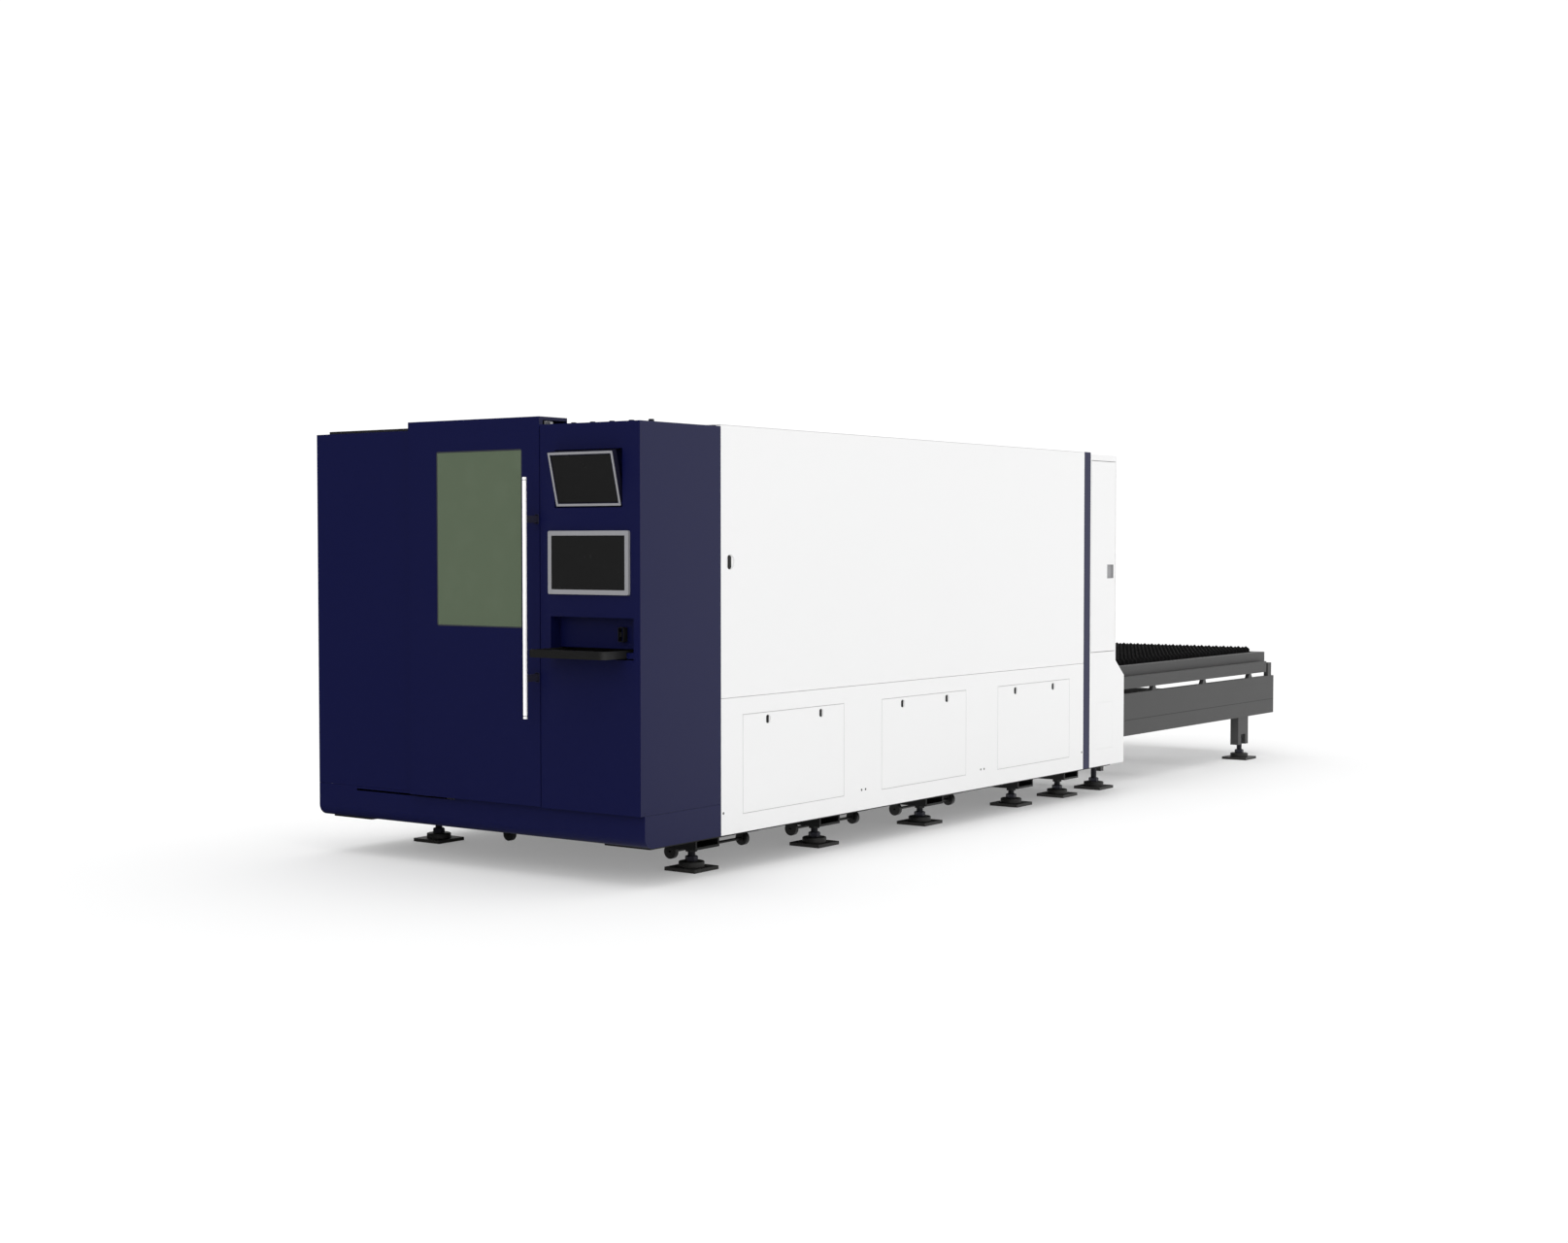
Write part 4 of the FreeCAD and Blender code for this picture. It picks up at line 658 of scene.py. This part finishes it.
FINISHES = {
    "navy": painted("navy_powder_coat", "navy", roughness=0.42, gloss=0.27, dust=0.012, dust_top=0.4),
    "white": cladding_paint,
    "table": table_paint,
    "black": painted("bed_black_paint", "black", roughness=0.5, gloss=0.3, dust=0.10, dust_top=0.12,
                     unevenness=0.3),
    "bracket": painted("bracket_black", (0.022, 0.021, 0.040), roughness=0.5, gloss=0.3, dust=0.0,
                       dust_top=0.1, unevenness=0.1),
    "slat": slat_steel,
    "ground": streaked("ground_steel", (0.42, 0.42, 0.43), (90.0, 2.0, 90.0), streak=0.25, roughness=0.28),
    # painted reflection: the handle is steel but has a near-white base colour and no metal, so it reads as
    # bright as the studio's reflection in it
    "bright": streaked("bright_steel", (1.0, 0.985, 1.0), (220.0, 220.0, 3.0), streak=0.02, roughness=0.3,
                       metallic=0.0),
    "oxide": streaked("black_oxide", (0.02, 0.02, 0.03), (120.0, 120.0, 120.0), streak=0.3, roughness=0.45,
                      metallic=0.6),
    "beam": streaked("beam_aluminium", (0.58, 0.58, 0.6), (2.0, 120.0, 120.0), streak=0.15, roughness=0.34),
    "copper": streaked("nozzle_copper", "copper", (300.0, 300.0, 40.0), streak=0.1, roughness=0.22),
    "glass": safety_glass,
    "screen": smooth("screen_glass", "screen", roughness=0.22, amount=0.08, gloss=0.18, grain=60.0,
                     relief=0.00001),
    "bezel": smooth("bezel_plastic", "bezel", roughness=0.45, amount=0.08, gloss=0.35),
    # partly painted shade: the upper monitor's own dark case, tinted navy-black so that its side reads as the
    # shade of the recess beside it
    "housing": smooth("monitor_housing", (0.006, 0.006, 0.02), roughness=0.5, amount=0.1, gloss=0.25,
                      grain=900.0, relief=0.00008),
    "plastic": smooth("black_plastic", "plastic", roughness=0.48, amount=0.12, gloss=0.3, grain=900.0,
                      relief=0.00008),
    "keys": smooth("key_plastic", (0.02, 0.02, 0.021), roughness=0.5, amount=0.2, gloss=0.35, grain=1200.0,
                   relief=0.00005),
    "rubber": smooth("gasket_rubber", (0.03, 0.033, 0.045), roughness=0.6, amount=0.1, gloss=0.3,
                     grain=300.0),
    "nylon": smooth("wheel_nylon", (0.009, 0.009, 0.009), roughness=0.4, amount=0.2, gloss=0.4, grain=200.0),
    "ceramic": smooth("nozzle_ceramic", (0.75, 0.73, 0.68), roughness=0.35, amount=0.1),
    "seal": smooth("door_seal_rubber", (0.55, 0.55, 0.55), roughness=0.6, amount=0.1, gloss=0.2, grain=300.0),
    "grip": smooth("grip_zinc", (0.30, 0.30, 0.31), roughness=0.4, amount=0.1, gloss=0.4, grain=400.0),
}
FINISH_NAMES = {}


def finish_of(key):
    """The material of that key, made the first time that it is asked for."""
    if key not in FINISH_NAMES:
        FINISH_NAMES[key] = FINISHES[key](bpy.context.scene.cutter_paints).name
    return bpy.data.materials[FINISH_NAMES[key]]


NODE_FINISHES = {
    "navy": ["front_plinth", "front_left_panel", "front_roof", "control_cabinet", "door_panel", "rear_arch"],
    "white": ["roof_panel", "side_panel_left", "side_panel_right", "lower_cladding_left",
              "lower_cladding_right", "rear_shell", "rear_side_door",
              *("access_door_%d" % i for i in SIDE_DOORS)],
    "table": ["table_frame", "table_rails", "upper_pallet_frame", "lower_pallet_frame"],
    "black": ["base_frame", "cabin_frame", "leg_boxes", "foot_plates", "foot_screws", "door_pivots",
              "exchange_drive"] + ["slag_cart_%d" % i for i in CARTS],
    "slat": ["upper_pallet_slats", "lower_pallet_slats"],
    "ground": ["bed_rails", "door_track", "gantry_rails", "door_carriages"],
    "bright": ["door_handle"],
    "oxide": ["roof_bolts"],
    "bracket": ["handle_brackets", "x_carriage"],
    "beam": ["gantry_beam", "cutting_head"],
    "glass": ["door_window"],
    "bezel": ["lower_monitor"],
    "housing": ["upper_monitor"],
    "plastic": ["keyboard_tray", "keyboard", "panel_latch"] + ["door_latch_%d" % i for i in LATCHES],
    "nylon": ["cart_%d_%s_wheels" % (i, side) for i in CARTS for side in ("inner", "outer")],
}


# ---- pieces ----
class CUTTER_OT_screens(Operator):
    """Add the dark screens inside the bezels of both monitors"""

    bl_idname = "cutter.screens"
    bl_label = "Screens"

    def execute(self, context):
        sizes = context.scene.cutter_sizes
        gap = sizes.screen_gap
        low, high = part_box("lower_monitor")
        centre = ((low.x + high.x) / 2.0, low.y + LOWER_RECESS, (low.z + high.z) / 2.0)
        self.screen("lower_screen", "frame", centre, (high.x - low.x) / 2.0 - LOWER_RIM - gap,
                    (high.z - low.z) / 2.0 - LOWER_RIM - gap, 0.0)
        joint = JOINTS["upper_monitor_tilt"]
        lean = -math.radians(joint["range_deg"][0])
        low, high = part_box("upper_monitor")
        reach = np.array([[math.cos(lean), math.sin(lean)], [math.sin(lean), math.cos(lean)]])
        tall, _thick = np.linalg.solve(reach, [high.z - low.z, high.y - low.y])
        pin = np.array(joint["pos_m"], float)
        middle = -PIN_INSET + tall / 2.0
        turn = np.array([[math.cos(lean), -math.sin(lean)], [math.sin(lean), math.cos(lean)]])
        y, z = pin[1:] + turn @ np.array([-PIN_INSET + UPPER_RECESS, middle])
        self.screen("upper_screen", "upper_monitor", ((low.x + high.x) / 2.0, y, z),
                    (high.x - low.x) / 2.0 - UPPER_RIM - gap, tall / 2.0 - UPPER_RIM - gap, lean)
        y, z = pin[1:] + turn @ np.array([-PIN_INSET, middle])
        self.rim("upper_bezel", "upper_monitor", ((low.x + high.x) / 2.0, y, z), (high.x - low.x) / 2.0,
                 tall / 2.0, sizes.bezel, lean)
        return {"FINISHED"}

    def rim(self, name, body, centre, half_width, half_height, wide, lean):
        """A flat frame 2 mm high with its edges taken off, laid on the front of a monitor."""
        section = [(0.0, -0.0005), (0.0, 0.0012), (0.0008, 0.002), (wide - 0.0008, 0.002), (wide, 0.0012),
                   (wide, -0.0005)]
        patch = laid(bead(half_width, half_height, 0.004, section), centre, self.leaning(lean))
        add_piece(name, [patch], body, finish_of("bezel"))

    def screen(self, name, body, centre, half_width, half_height, lean):
        """A plate 1.2 mm thick whose front edge is rounded over, facing the operator."""
        levels = [(0.0, 0.0), (0.0, 0.0008), (0.0003, 0.0011), (0.0012, 0.0012)]
        patch = laid(plate(half_width, half_height, 0.004, levels), centre, self.leaning(lean))
        add_piece(name, [patch], body, finish_of("screen"))

    def leaning(self, lean):
        """Local directions of a face that faces the operator and looks down by the angle of lean."""
        sine, cosine = math.sin(lean), math.cos(lean)
        return (1.0, 0.0, 0.0), (0.0, -sine, cosine), (0.0, -cosine, -sine)


class CUTTER_OT_niche_box(Operator):
    """Add the small switch box that hangs in the keyboard niche"""

    bl_idname = "cutter.niche_box"
    bl_label = "Niche box"

    def execute(self, context):
        tray_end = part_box("keyboard_tray")[1]
        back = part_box("control_cabinet")[0].y + NICHE_DEPTH
        centre = (tray_end.x - 0.068, back + 0.0005, tray_end.z + 0.071)
        levels = [(0.0, 0.0), (0.0, 0.026), (0.0006, 0.028), (0.002, 0.030), (0.004, 0.030), (0.0046, 0.0288)]
        rocker_levels = [(0.0, 0.028), (0.0, 0.0305), (0.0006, 0.0315), (0.0022, 0.0312)]
        case = plate(0.018, 0.034, 0.004, levels)
        rocker = plate(0.007, 0.011, 0.0015, rocker_levels)
        patches = [laid(patch, centre, TO_FRONT) for patch in (case, rocker)]
        add_piece("niche_switch_box", patches, "frame", finish_of("plastic"))
        return {"FINISHED"}


class CUTTER_OT_keys(Operator):
    """Add blank keys to the keyboard"""

    bl_idname = "cutter.keys"
    bl_label = "Keys"

    def execute(self, context):
        sizes = context.scene.cutter_sizes
        pitch = sizes.key_pitch
        half_gap = 0.0011
        low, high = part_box("keyboard")
        patches = []
        rows = int((high.y - low.y - 0.012) / pitch)
        columns = int((high.x - low.x - 0.016) / pitch)
        first = ((low.x + high.x) / 2.0 - columns * pitch / 2.0, (low.y + high.y) / 2.0 - rows * pitch / 2.0)
        for row in range(rows):
            for start, wide in self.spans(row, columns):
                key = self.key(wide * pitch / 2.0 - half_gap, pitch / 2.0 - half_gap, sizes.key_height)
                centre = (first[0] + (start + wide / 2.0) * pitch, first[1] + (row + 0.5) * pitch, high.z)
                patches.append(moved(key, centre))
        add_piece("keyboard_keys", patches, "keyboard_tray", finish_of("keys"))
        return {"FINISHED"}

    def spans(self, row, columns):
        """Start and width of each key of a row, in key pitches. The nearest row holds the long bar."""
        if row == 0:
            head = [(0, 1.5), (1.5, 1.5), (3, 1.5), (4.5, 5.5), (10, 1.5), (11.5, 1.5), (13, 1.5)]
        elif row == 1:
            head = [(0, 2.25)] + [(2.25 + i, 1) for i in range(10)] + [(12.25, 2.25)]
        elif row == 2:
            head = [(0, 1.75)] + [(1.75 + i, 1) for i in range(11)] + [(12.75, 1.75)]
        elif row == 3:
            head = [(0, 1.5)] + [(1.5 + i, 1) for i in range(12)] + [(13.5, 1)]
        else:
            head = [(i, 1) for i in range(14)]
        return head + [(15.0 + i, 1) for i in range(3)] + [(18.5 + i, 1) for i in range(int(columns - 18.5))]

    def key(self, half_width, half_height, height):
        """A key drawn in towards its top, with a shallow dish sunk into it."""
        levels = [(0.0, -0.0005), (0.0002, 0.001), (0.0014, height - 0.0008), (0.0021, height),
                  (0.004, height - 0.0004)]
        return plate(half_width, half_height, 0.0016, levels, 2)


class CUTTER_OT_window_gasket(Operator):
    """Add the rubber bead that holds the glass in the sliding door"""

    bl_idname = "cutter.window_gasket"
    bl_label = "Window gasket"

    def execute(self, context):
        wide = context.scene.cutter_sizes.gasket
        low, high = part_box("door_window")
        half_width = (high.x - low.x) / 2.0 - GLASS_LAP
        half_height = (high.z - low.z) / 2.0 - GLASS_LAP
        centre = ((low.x + high.x) / 2.0, low.y, (low.z + high.z) / 2.0)
        angle = np.linspace(0.0, math.pi, 9)
        arch = np.column_stack([wide / 2.0 - wide / 2.0 * np.cos(angle), 0.0004 + 0.0017 * np.sin(angle)])
        section = np.concatenate([[(0.0002, 0.0001)], arch, [(wide, 0.0001)]])
        patch = laid(bead(half_width, half_height, 0.012, section), centre, TO_FRONT)
        add_piece("window_gasket", [patch], "front_door", finish_of("rubber"), 50.0)
        return {"FINISHED"}


class CUTTER_OT_handle_trim(Operator):
    """Add the end rings and the roses of the door handle"""

    bl_idname = "cutter.handle_trim"
    bl_label = "Handle trim"

    def execute(self, context):
        steps = context.scene.cutter_sizes.turns
        low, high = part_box("door_handle")
        middle = np.array([(low.x + high.x) / 2.0, (low.y + high.y) / 2.0, 0.0])
        radius = (high.x - low.x) / 2.0
        rings = []
        for end, sign in ((low.z, 1.0), (high.z, -1.0)):
            rise = sign * np.array([0.012, 0.012, 0.0128, 0.0142, 0.015, 0.015])
            reach = np.array([0.0, radius + 0.0002, radius + 0.0007, radius + 0.0007, radius + 0.0002, 0.0])
            rings.append(moved(turned(np.column_stack([reach, end + rise]), steps), middle))
        add_piece("handle_end_rings", rings, "front_door", finish_of("ground"))
        self.roses()
        return {"FINISHED"}

    def roses(self):
        """A rounded plate where each arm meets the door."""
        low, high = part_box("handle_brackets")
        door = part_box("door_panel")[0].y
        edge = 0.006
        levels = [(0.0, 0.0), (0.0, 0.0022), (0.0006, 0.003), (0.0016, 0.0033)]
        rose = plate((high.x - low.x) / 2.0 + edge, ARM_HALF_HEIGHT + edge, 0.005, levels)
        patches = []
        for z in (low.z + ARM_HALF_HEIGHT, high.z - ARM_HALF_HEIGHT):
            patches.append(laid(rose, ((low.x + high.x) / 2.0, door, z), TO_FRONT))
        add_piece("handle_roses", patches, "front_door", finish_of("bracket"))


class CUTTER_OT_foot_threads(Operator):
    """Add the threads, cups and lock nuts of the levelling feet"""

    bl_idname = "cutter.foot_threads"
    bl_label = "Foot threads"

    def execute(self, context):
        sizes = context.scene.cutter_sizes
        centres = self.centres()
        table_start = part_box("table_rails")[0].y
        patches = []
        for x, y in centres:
            top = TABLE_SCREW_TOP if y > table_start else BED_SCREW_TOP
            thread = threaded(0.0176, sizes.thread_depth, sizes.thread_pitch, 0.031, top - 0.0005)
            patches.append(moved(thread, (x, y, 0.0)))
        add_piece("foot_threads", patches, "frame", finish_of("oxide"), 60.0)
        places = [(x, y, 0.0) for x, y in centres]
        cup_top = 0.047
        cup = [(0.0, 0.0185), (0.0645, 0.0185), (0.0645, 0.040), (0.0625, 0.0435), (0.058, 0.045),
               (0.034, cup_top), (0.0, cup_top)]
        cups = repeated(turned(cup, sizes.turns), places)
        add_piece("foot_cups", [cups], "frame", finish_of("black"))
        nut = moved(hexagon_head(0.056, 0.024, 0.004), (0.0, 0.0, cup_top))
        add_piece("foot_lock_nuts", [repeated(nut, places)], "frame", finish_of("oxide"), 25.0)
        return {"FINISHED"}

    def centres(self):
        """Middles of the foot plates: on each side, their points fall into clumps more than 50 mm apart."""
        points = node_points("foot_plates")
        found = []
        for side in (-1.0, 1.0):
            row = points[points[:, 0] * side > 0.0]
            along = np.sort(row[:, 1])
            breaks = np.nonzero(np.diff(along) > 0.05)[0]
            starts = along[np.concatenate([[0], breaks + 1])]
            ends = along[np.concatenate([breaks, [len(along) - 1]])]
            for start, end in zip(starts, ends):
                near = row[(row[:, 1] >= start - 1e-6) & (row[:, 1] <= end + 1e-6)]
                found.append(tuple((near.min(0)[:2] + near.max(0)[:2]) / 2.0))
        return found


class CUTTER_OT_roof_bolts(Operator):
    """Replace the plain roof bolts by chamfered heads on washers"""

    bl_idname = "cutter.roof_bolts"
    bl_label = "Roof bolts"

    def execute(self, context):
        sizes = context.scene.cutter_sizes
        low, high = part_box("roof_bolts")
        count = int(round((high.x - low.x) / BOLT_PITCH)) + 1
        first = -(count - 1) * BOLT_PITCH / 2.0
        thick = 0.0022
        washer = [(0.0, 0.0), (sizes.washer, 0.0), (sizes.washer, 0.0016), (sizes.washer - 0.0006, thick),
                  (0.0, thick)]
        head = moved(hexagon_head(high.y - low.y, high.z - low.z - thick, 0.0030), (0.0, 0.0, thick))
        one = joined([turned(washer, 28), head])
        offsets = [(first + i * BOLT_PITCH, (low.y + high.y) / 2.0, low.z) for i in range(count)]
        heads = repeated(one, offsets)
        piece = add_piece("roof_bolt_heads", [heads], "frame", finish_of("oxide"), 25.0)
        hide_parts("roof_bolts")
        return {"FINISHED"}


class CUTTER_OT_latch_plates(Operator):
    """Add the oval plates behind the quarter-turn latches"""

    bl_idname = "cutter.latch_plates"
    bl_label = "Latch plates"

    def execute(self, context):
        sizes = context.scene.cutter_sizes
        for number in LATCHES:
            joint = JOINTS["door_latch_%d_turn" % number]
            self.lay("latch_plate_%d" % number, joint, sizes.latch_width, sizes.latch_height)
        self.lay("panel_latch_plate", JOINTS["panel_latch_turn"], 0.026, 0.068)
        return {"FINISHED"}

    def lay(self, name, joint, wide, tall):
        """An oval plate with rounded edges on the floor of the latch's dish."""
        levels = [(0.0, 0.0), (0.0, 0.0012), (0.0003, 0.0018), (0.0009, 0.002)]
        oval = plate(wide / 2.0, tall / 2.0, wide / 2.0 - 0.0005, levels, 8)
        patch = laid(oval, (RIGHT_FACE - DISH_DEPTH, *joint["pos_m"][1:]), TO_RIGHT)
        add_piece(name, [patch], joint["parent"], finish_of("plastic"))


class CUTTER_OT_grip_lining(Operator):
    """Add the cast lining of the rear door's recessed grip"""

    bl_idname = "cutter.grip_lining"
    bl_label = "Grip lining"

    def execute(self, context):
        half = 0.0437
        centre = (RIGHT_FACE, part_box("rear_side_door")[1].y + DOOR_MARGIN - GRIP_INSET, GRIP_HEIGHT)
        section = [(0.0, -0.0088), (0.0, -0.0004), (0.0004, -0.0001), (0.0022, -0.0001), (0.003, -0.0006),
                   (0.0045, -0.0074), (0.007, -0.0082)]
        patch = laid(plate(half, half, 0.003, section), centre, TO_RIGHT)
        add_piece("grip_lining", [patch], "rear_side_door", finish_of("grip"))
        return {"FINISHED"}


class CUTTER_OT_nozzle(Operator):
    """Add the copper nozzle and its ceramic ring to the cutting head"""

    bl_idname = "cutter.nozzle"
    bl_label = "Nozzle"

    def execute(self, context):
        steps = context.scene.cutter_sizes.turns
        low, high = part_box("cutting_head")
        middle = np.array([(low.x + high.x) / 2.0, self.axis_y(low.z), low.z])
        tip = [(0.0, 0.0002), (0.0022, 0.0002), (0.0036, 0.0016), (0.0072, 0.010), (0.0084, 0.012),
               (0.0084, 0.016), (0.0, 0.016)]
        ring = [(0.0, 0.0165), (0.0125, 0.0165), (0.0135, 0.0175), (0.0135, 0.025), (0.0125, 0.026),
                (0.0, 0.026)]
        made = (("nozzle_tip", tip, "copper"), ("nozzle_ceramic_ring", ring, "ceramic"))
        for name, profile, finish in made:
            patch = moved(turned(profile, steps), middle)
            add_piece(name, [patch], "cutting_head", finish_of(finish))
        return {"FINISHED"}

    def axis_y(self, tip):
        """Middle of the head's lowest points along Y."""
        points = node_points("cutting_head")
        near = points[points[:, 2] < tip + 0.001]
        return float((near[:, 1].min() + near[:, 1].max()) / 2.0)


class CUTTER_OT_wheel_hubs(Operator):
    """Add the stepped hubs of the slag carts' wheels"""

    bl_idname = "cutter.wheel_hubs"
    bl_label = "Wheel hubs"

    def execute(self, context):
        proud = 0.0036
        profile = [(0.0, 0.0), (0.021, 0.0), (0.021, 0.0012), (0.019, 0.0022), (0.013, 0.0022),
                   (0.012, 0.0032), (0.006, proud), (0.0, proud)]
        hub = turned(profile, context.scene.cutter_sizes.turns)
        for index in CARTS:
            for side in ("inner", "outer"):
                body = "cart_%d_%s_wheels" % (index, side)
                low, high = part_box(body)
                x, z = (low.x + high.x) / 2.0, (low.z + high.z) / 2.0
                patches = [laid(hub, (x, low.y + proud, z), TO_FRONT),
                           laid(hub, (x, high.y - proud, z), TO_REAR)]
                name = "cart_%d_%s_hubs" % (index, side)
                add_piece(name, patches, body, finish_of("ground"))
        return {"FINISHED"}


class CUTTER_OT_door_seals(Operator):
    """Add the pale rubber strips in the gaps round the three low side doors"""

    bl_idname = "cutter.door_seals"
    bl_label = "Door seals"

    def execute(self, context):
        sizes = context.scene.cutter_sizes
        gap = sizes.seal_gap
        face = RIGHT_FACE - sizes.seal_sunk
        filled = 0.82
        angle = np.linspace(0.0, math.pi, 5)
        arch = np.column_stack([gap / 2.0 * (1.0 - np.cos(angle)), 0.0005 * np.sin(angle)])
        section = np.concatenate([arch, [(gap, -0.002), (0.0, -0.002)]]) * np.array([filled, 1.0])
        patches = []
        for index in SIDE_DOORS:
            low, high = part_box("access_door_%d" % index)
            centre = (face, (low.y + high.y) / 2.0, (low.z + high.z) / 2.0)
            ring = bead((high.y - low.y) / 2.0 + gap, (high.z - low.z) / 2.0 + gap, 0.001, section, 3)
            patches.append(laid(ring, centre, TO_RIGHT))
        add_piece("door_seals", patches, "frame", finish_of("seal"), 60.0)
        return {"FINISHED"}


class CUTTER_OT_finishes(Operator):
    """Give every part of the frame its paint, metal, glass or plastic"""

    bl_idname = "cutter.finishes"
    bl_label = "Finishes"

    def execute(self, context):
        named = [name for names in NODE_FINISHES.values() for name in names]
        missing = sorted(set(NODES) - set(named))
        if missing:
            raise RuntimeError("these parts have no finish: %s" % ", ".join(missing))
        for key, names in NODE_FINISHES.items():
            finish = finish_of(key)
            for name in names:
                part = NODES[name]
                if not part.material_slots:
                    part.data.materials.append(finish)
                for spot in part.material_slots:
                    spot.material = finish
        return {"FINISHED"}


class CUTTER_OT_stage(Operator):
    """Set the floor, the studio sky, the soft lamps and the camera"""

    bl_idname = "cutter.stage"
    bl_label = "Stage"

    def execute(self, context):
        stage = context.scene.cutter_stage
        self.floor(stage)
        self.sky(stage)
        self.lamp("overhead", stage.sun, 70.0, (0.0, 0.0, 10.0), 0.0)
        self.lamp("front_fill", stage.fill, 60.0, (0.0, -10.0, 3.0), 78.0)
        camera = bpy.data.objects.new("camera", bpy.data.cameras.new("camera"))
        camera.data.lens = stage.lens
        camera.data.sensor_width = 36.0
        camera.data.clip_end = 500.0
        camera.location = stage.eye
        camera.rotation_euler = (math.pi / 2.0 - stage.tilt, 0.0, stage.pan)
        context.scene.collection.objects.link(camera)
        context.scene.camera = camera
        context.scene.view_settings.view_transform = "Standard"
        return {"FINISHED"}

    def floor(self, stage):
        """A pale floor. The camera sees part of it as lit from within, so that the shadows stay soft, and in
        reflections it dims towards the front left, as the studio does."""
        finish, tree, shader, place = start_finish("studio_floor")
        shader.inputs["Roughness"].default_value = 0.9
        shader.inputs["Specular IOR Level"].default_value = 0.1
        tone = ramp(tree, noise(tree, place, 0.4, 2.0), 0.2, 0.8, 0.90, 0.91)
        wire(tree, blend(tree, tone, (0.0, 0.0, 0.0), (1.0, 1.0, 1.0)), shader.inputs["Base Color"])
        spot = coordinates(tree, place)
        diagonal = arithmetic(tree, "ADD", spot["X"], spot["Y"])
        glow = node(tree, "ShaderNodeEmission")
        wire(tree, ramp(tree, diagonal, -5.0, 3.0, stage.shade, stage.bright), glow.inputs["Strength"])
        lift = node(tree, "ShaderNodeEmission")
        lift.inputs["Strength"].default_value = 1.0
        path = node(tree, "ShaderNodeLightPath")
        lifted = node(tree, "ShaderNodeMixShader")
        share = 0.25
        wire(tree, arithmetic(tree, "MULTIPLY", path.outputs["Is Camera Ray"], share), lifted.inputs[0])
        wire(tree, shader.outputs[0], lifted.inputs[1])
        wire(tree, lift.outputs[0], lifted.inputs[2])
        mixed = node(tree, "ShaderNodeMixShader")
        wire(tree, path.outputs["Is Glossy Ray"], mixed.inputs[0])
        wire(tree, lifted.outputs[0], mixed.inputs[1])
        wire(tree, glow.outputs[0], mixed.inputs[2])
        wire(tree, mixed.outputs[0], tree.nodes["Material Output"].inputs["Surface"])
        reach = 300.0
        side = np.linspace(-reach, reach, 3)
        across, along = np.meshgrid(side, side, indexing="ij")
        points, faces = grid(np.stack([across, along, np.full_like(across, -0.0005)], axis=-1))
        mesh = bpy.data.meshes.new("floor")
        mesh.from_pydata(points.tolist(), [], faces.tolist())
        mesh.materials.append(finish)
        floor = bpy.data.objects.new("floor", mesh)
        bpy.context.scene.collection.objects.link(floor)

    def sky(self, stage):
        """White to the camera, even for plain surfaces, and dimming to the front left for glossy ones."""
        world = bpy.data.worlds.new("studio")
        bpy.context.scene.world = world
        world.use_nodes = True
        tree = world.node_tree
        back = tree.nodes["Background"]
        place = node(tree, "ShaderNodeTexCoord").outputs["Generated"]
        spot = coordinates(tree, place)
        parts = [arithmetic(tree, "MULTIPLY", spot[axis], share)
                 for axis, share in (("X", 0.8), ("Y", 0.6), ("Z", 0.5))]
        side = arithmetic(tree, "ADD", arithmetic(tree, "ADD", parts[0], parts[1]), parts[2])
        gloss = ramp(tree, side, -0.55, 0.35, stage.shade, stage.bright)
        path = node(tree, "ShaderNodeLightPath")
        background = 1.1
        seen = arithmetic(tree, "MULTIPLY", path.outputs["Is Camera Ray"], background - stage.sky)
        plain = arithmetic(tree, "ADD", seen, stage.sky)
        mixed = node(tree, "ShaderNodeMix", data_type="FLOAT")
        wire(tree, path.outputs["Is Glossy Ray"], mixed.inputs[0])
        wire(tree, plain, mixed.inputs[2])
        wire(tree, gloss, mixed.inputs[3])
        wire(tree, mixed.outputs[0], back.inputs["Strength"])
        back.inputs["Color"].default_value = (1.0, 1.0, 1.0, 1.0)

    def lamp(self, name, strength, spread, place, lean):
        """One very wide sun that gloss doesn't show. It shines straight down, or leans towards the rear by
        the given number of degrees."""
        data = bpy.data.lights.new(name, "SUN")
        data.energy = strength
        data.angle = math.radians(spread)
        light = bpy.data.objects.new(name, data)
        light.location = place
        light.rotation_euler = (math.radians(lean), 0.0, 0.0)
        light.visible_glossy = False
        bpy.context.scene.collection.objects.link(light)


PIECES = (
    CUTTER_OT_screens,
    CUTTER_OT_niche_box,
    CUTTER_OT_keys,
    CUTTER_OT_window_gasket,
    CUTTER_OT_handle_trim,
    CUTTER_OT_foot_threads,
    CUTTER_OT_roof_bolts,
    CUTTER_OT_latch_plates,
    CUTTER_OT_grip_lining,
    CUTTER_OT_nozzle,
    CUTTER_OT_wheel_hubs,
    CUTTER_OT_door_seals,
    CUTTER_OT_finishes,
    CUTTER_OT_stage,
)


class CUTTER_PT_panel(Panel):
    """Sidebar panel with the machine's settings and pieces"""

    bl_idname = "CUTTER_PT_panel"
    bl_label = "Laser cutter"
    bl_space_type = "VIEW_3D"
    bl_region_type = "UI"
    bl_category = "Laser cutter"

    def draw(self, context):
        layout = self.layout
        for group in (context.scene.cutter_paints, context.scene.cutter_sizes, context.scene.cutter_stage):
            box = layout.box()
            for name in group.__annotations__:
                box.prop(group, name)
        for piece in PIECES:
            layout.operator(piece.bl_idname)


GROUPS = {"cutter_paints": CutterPaints, "cutter_sizes": CutterSizes, "cutter_stage": CutterStage}


def register():
    """Registers the settings, the operators and the panel."""
    for cls in (*GROUPS.values(), *PIECES, CUTTER_PT_panel):
        bpy.utils.register_class(cls)
    for name, cls in GROUPS.items():
        setattr(bpy.types.Scene, name, PointerProperty(type=cls))


def unregister():
    """Takes them away again."""
    for name in GROUPS:
        delattr(bpy.types.Scene, name)
    for cls in (CUTTER_PT_panel, *reversed(PIECES), *reversed(list(GROUPS.values()))):
        bpy.utils.unregister_class(cls)


def main():
    """Adds every group of pieces, dresses the frame and sets the stage."""
    register()
    for piece in PIECES:
        group, name = piece.bl_idname.split(".")
        getattr(getattr(bpy.ops, group), name)()


if __name__ == "__main__":
    main()
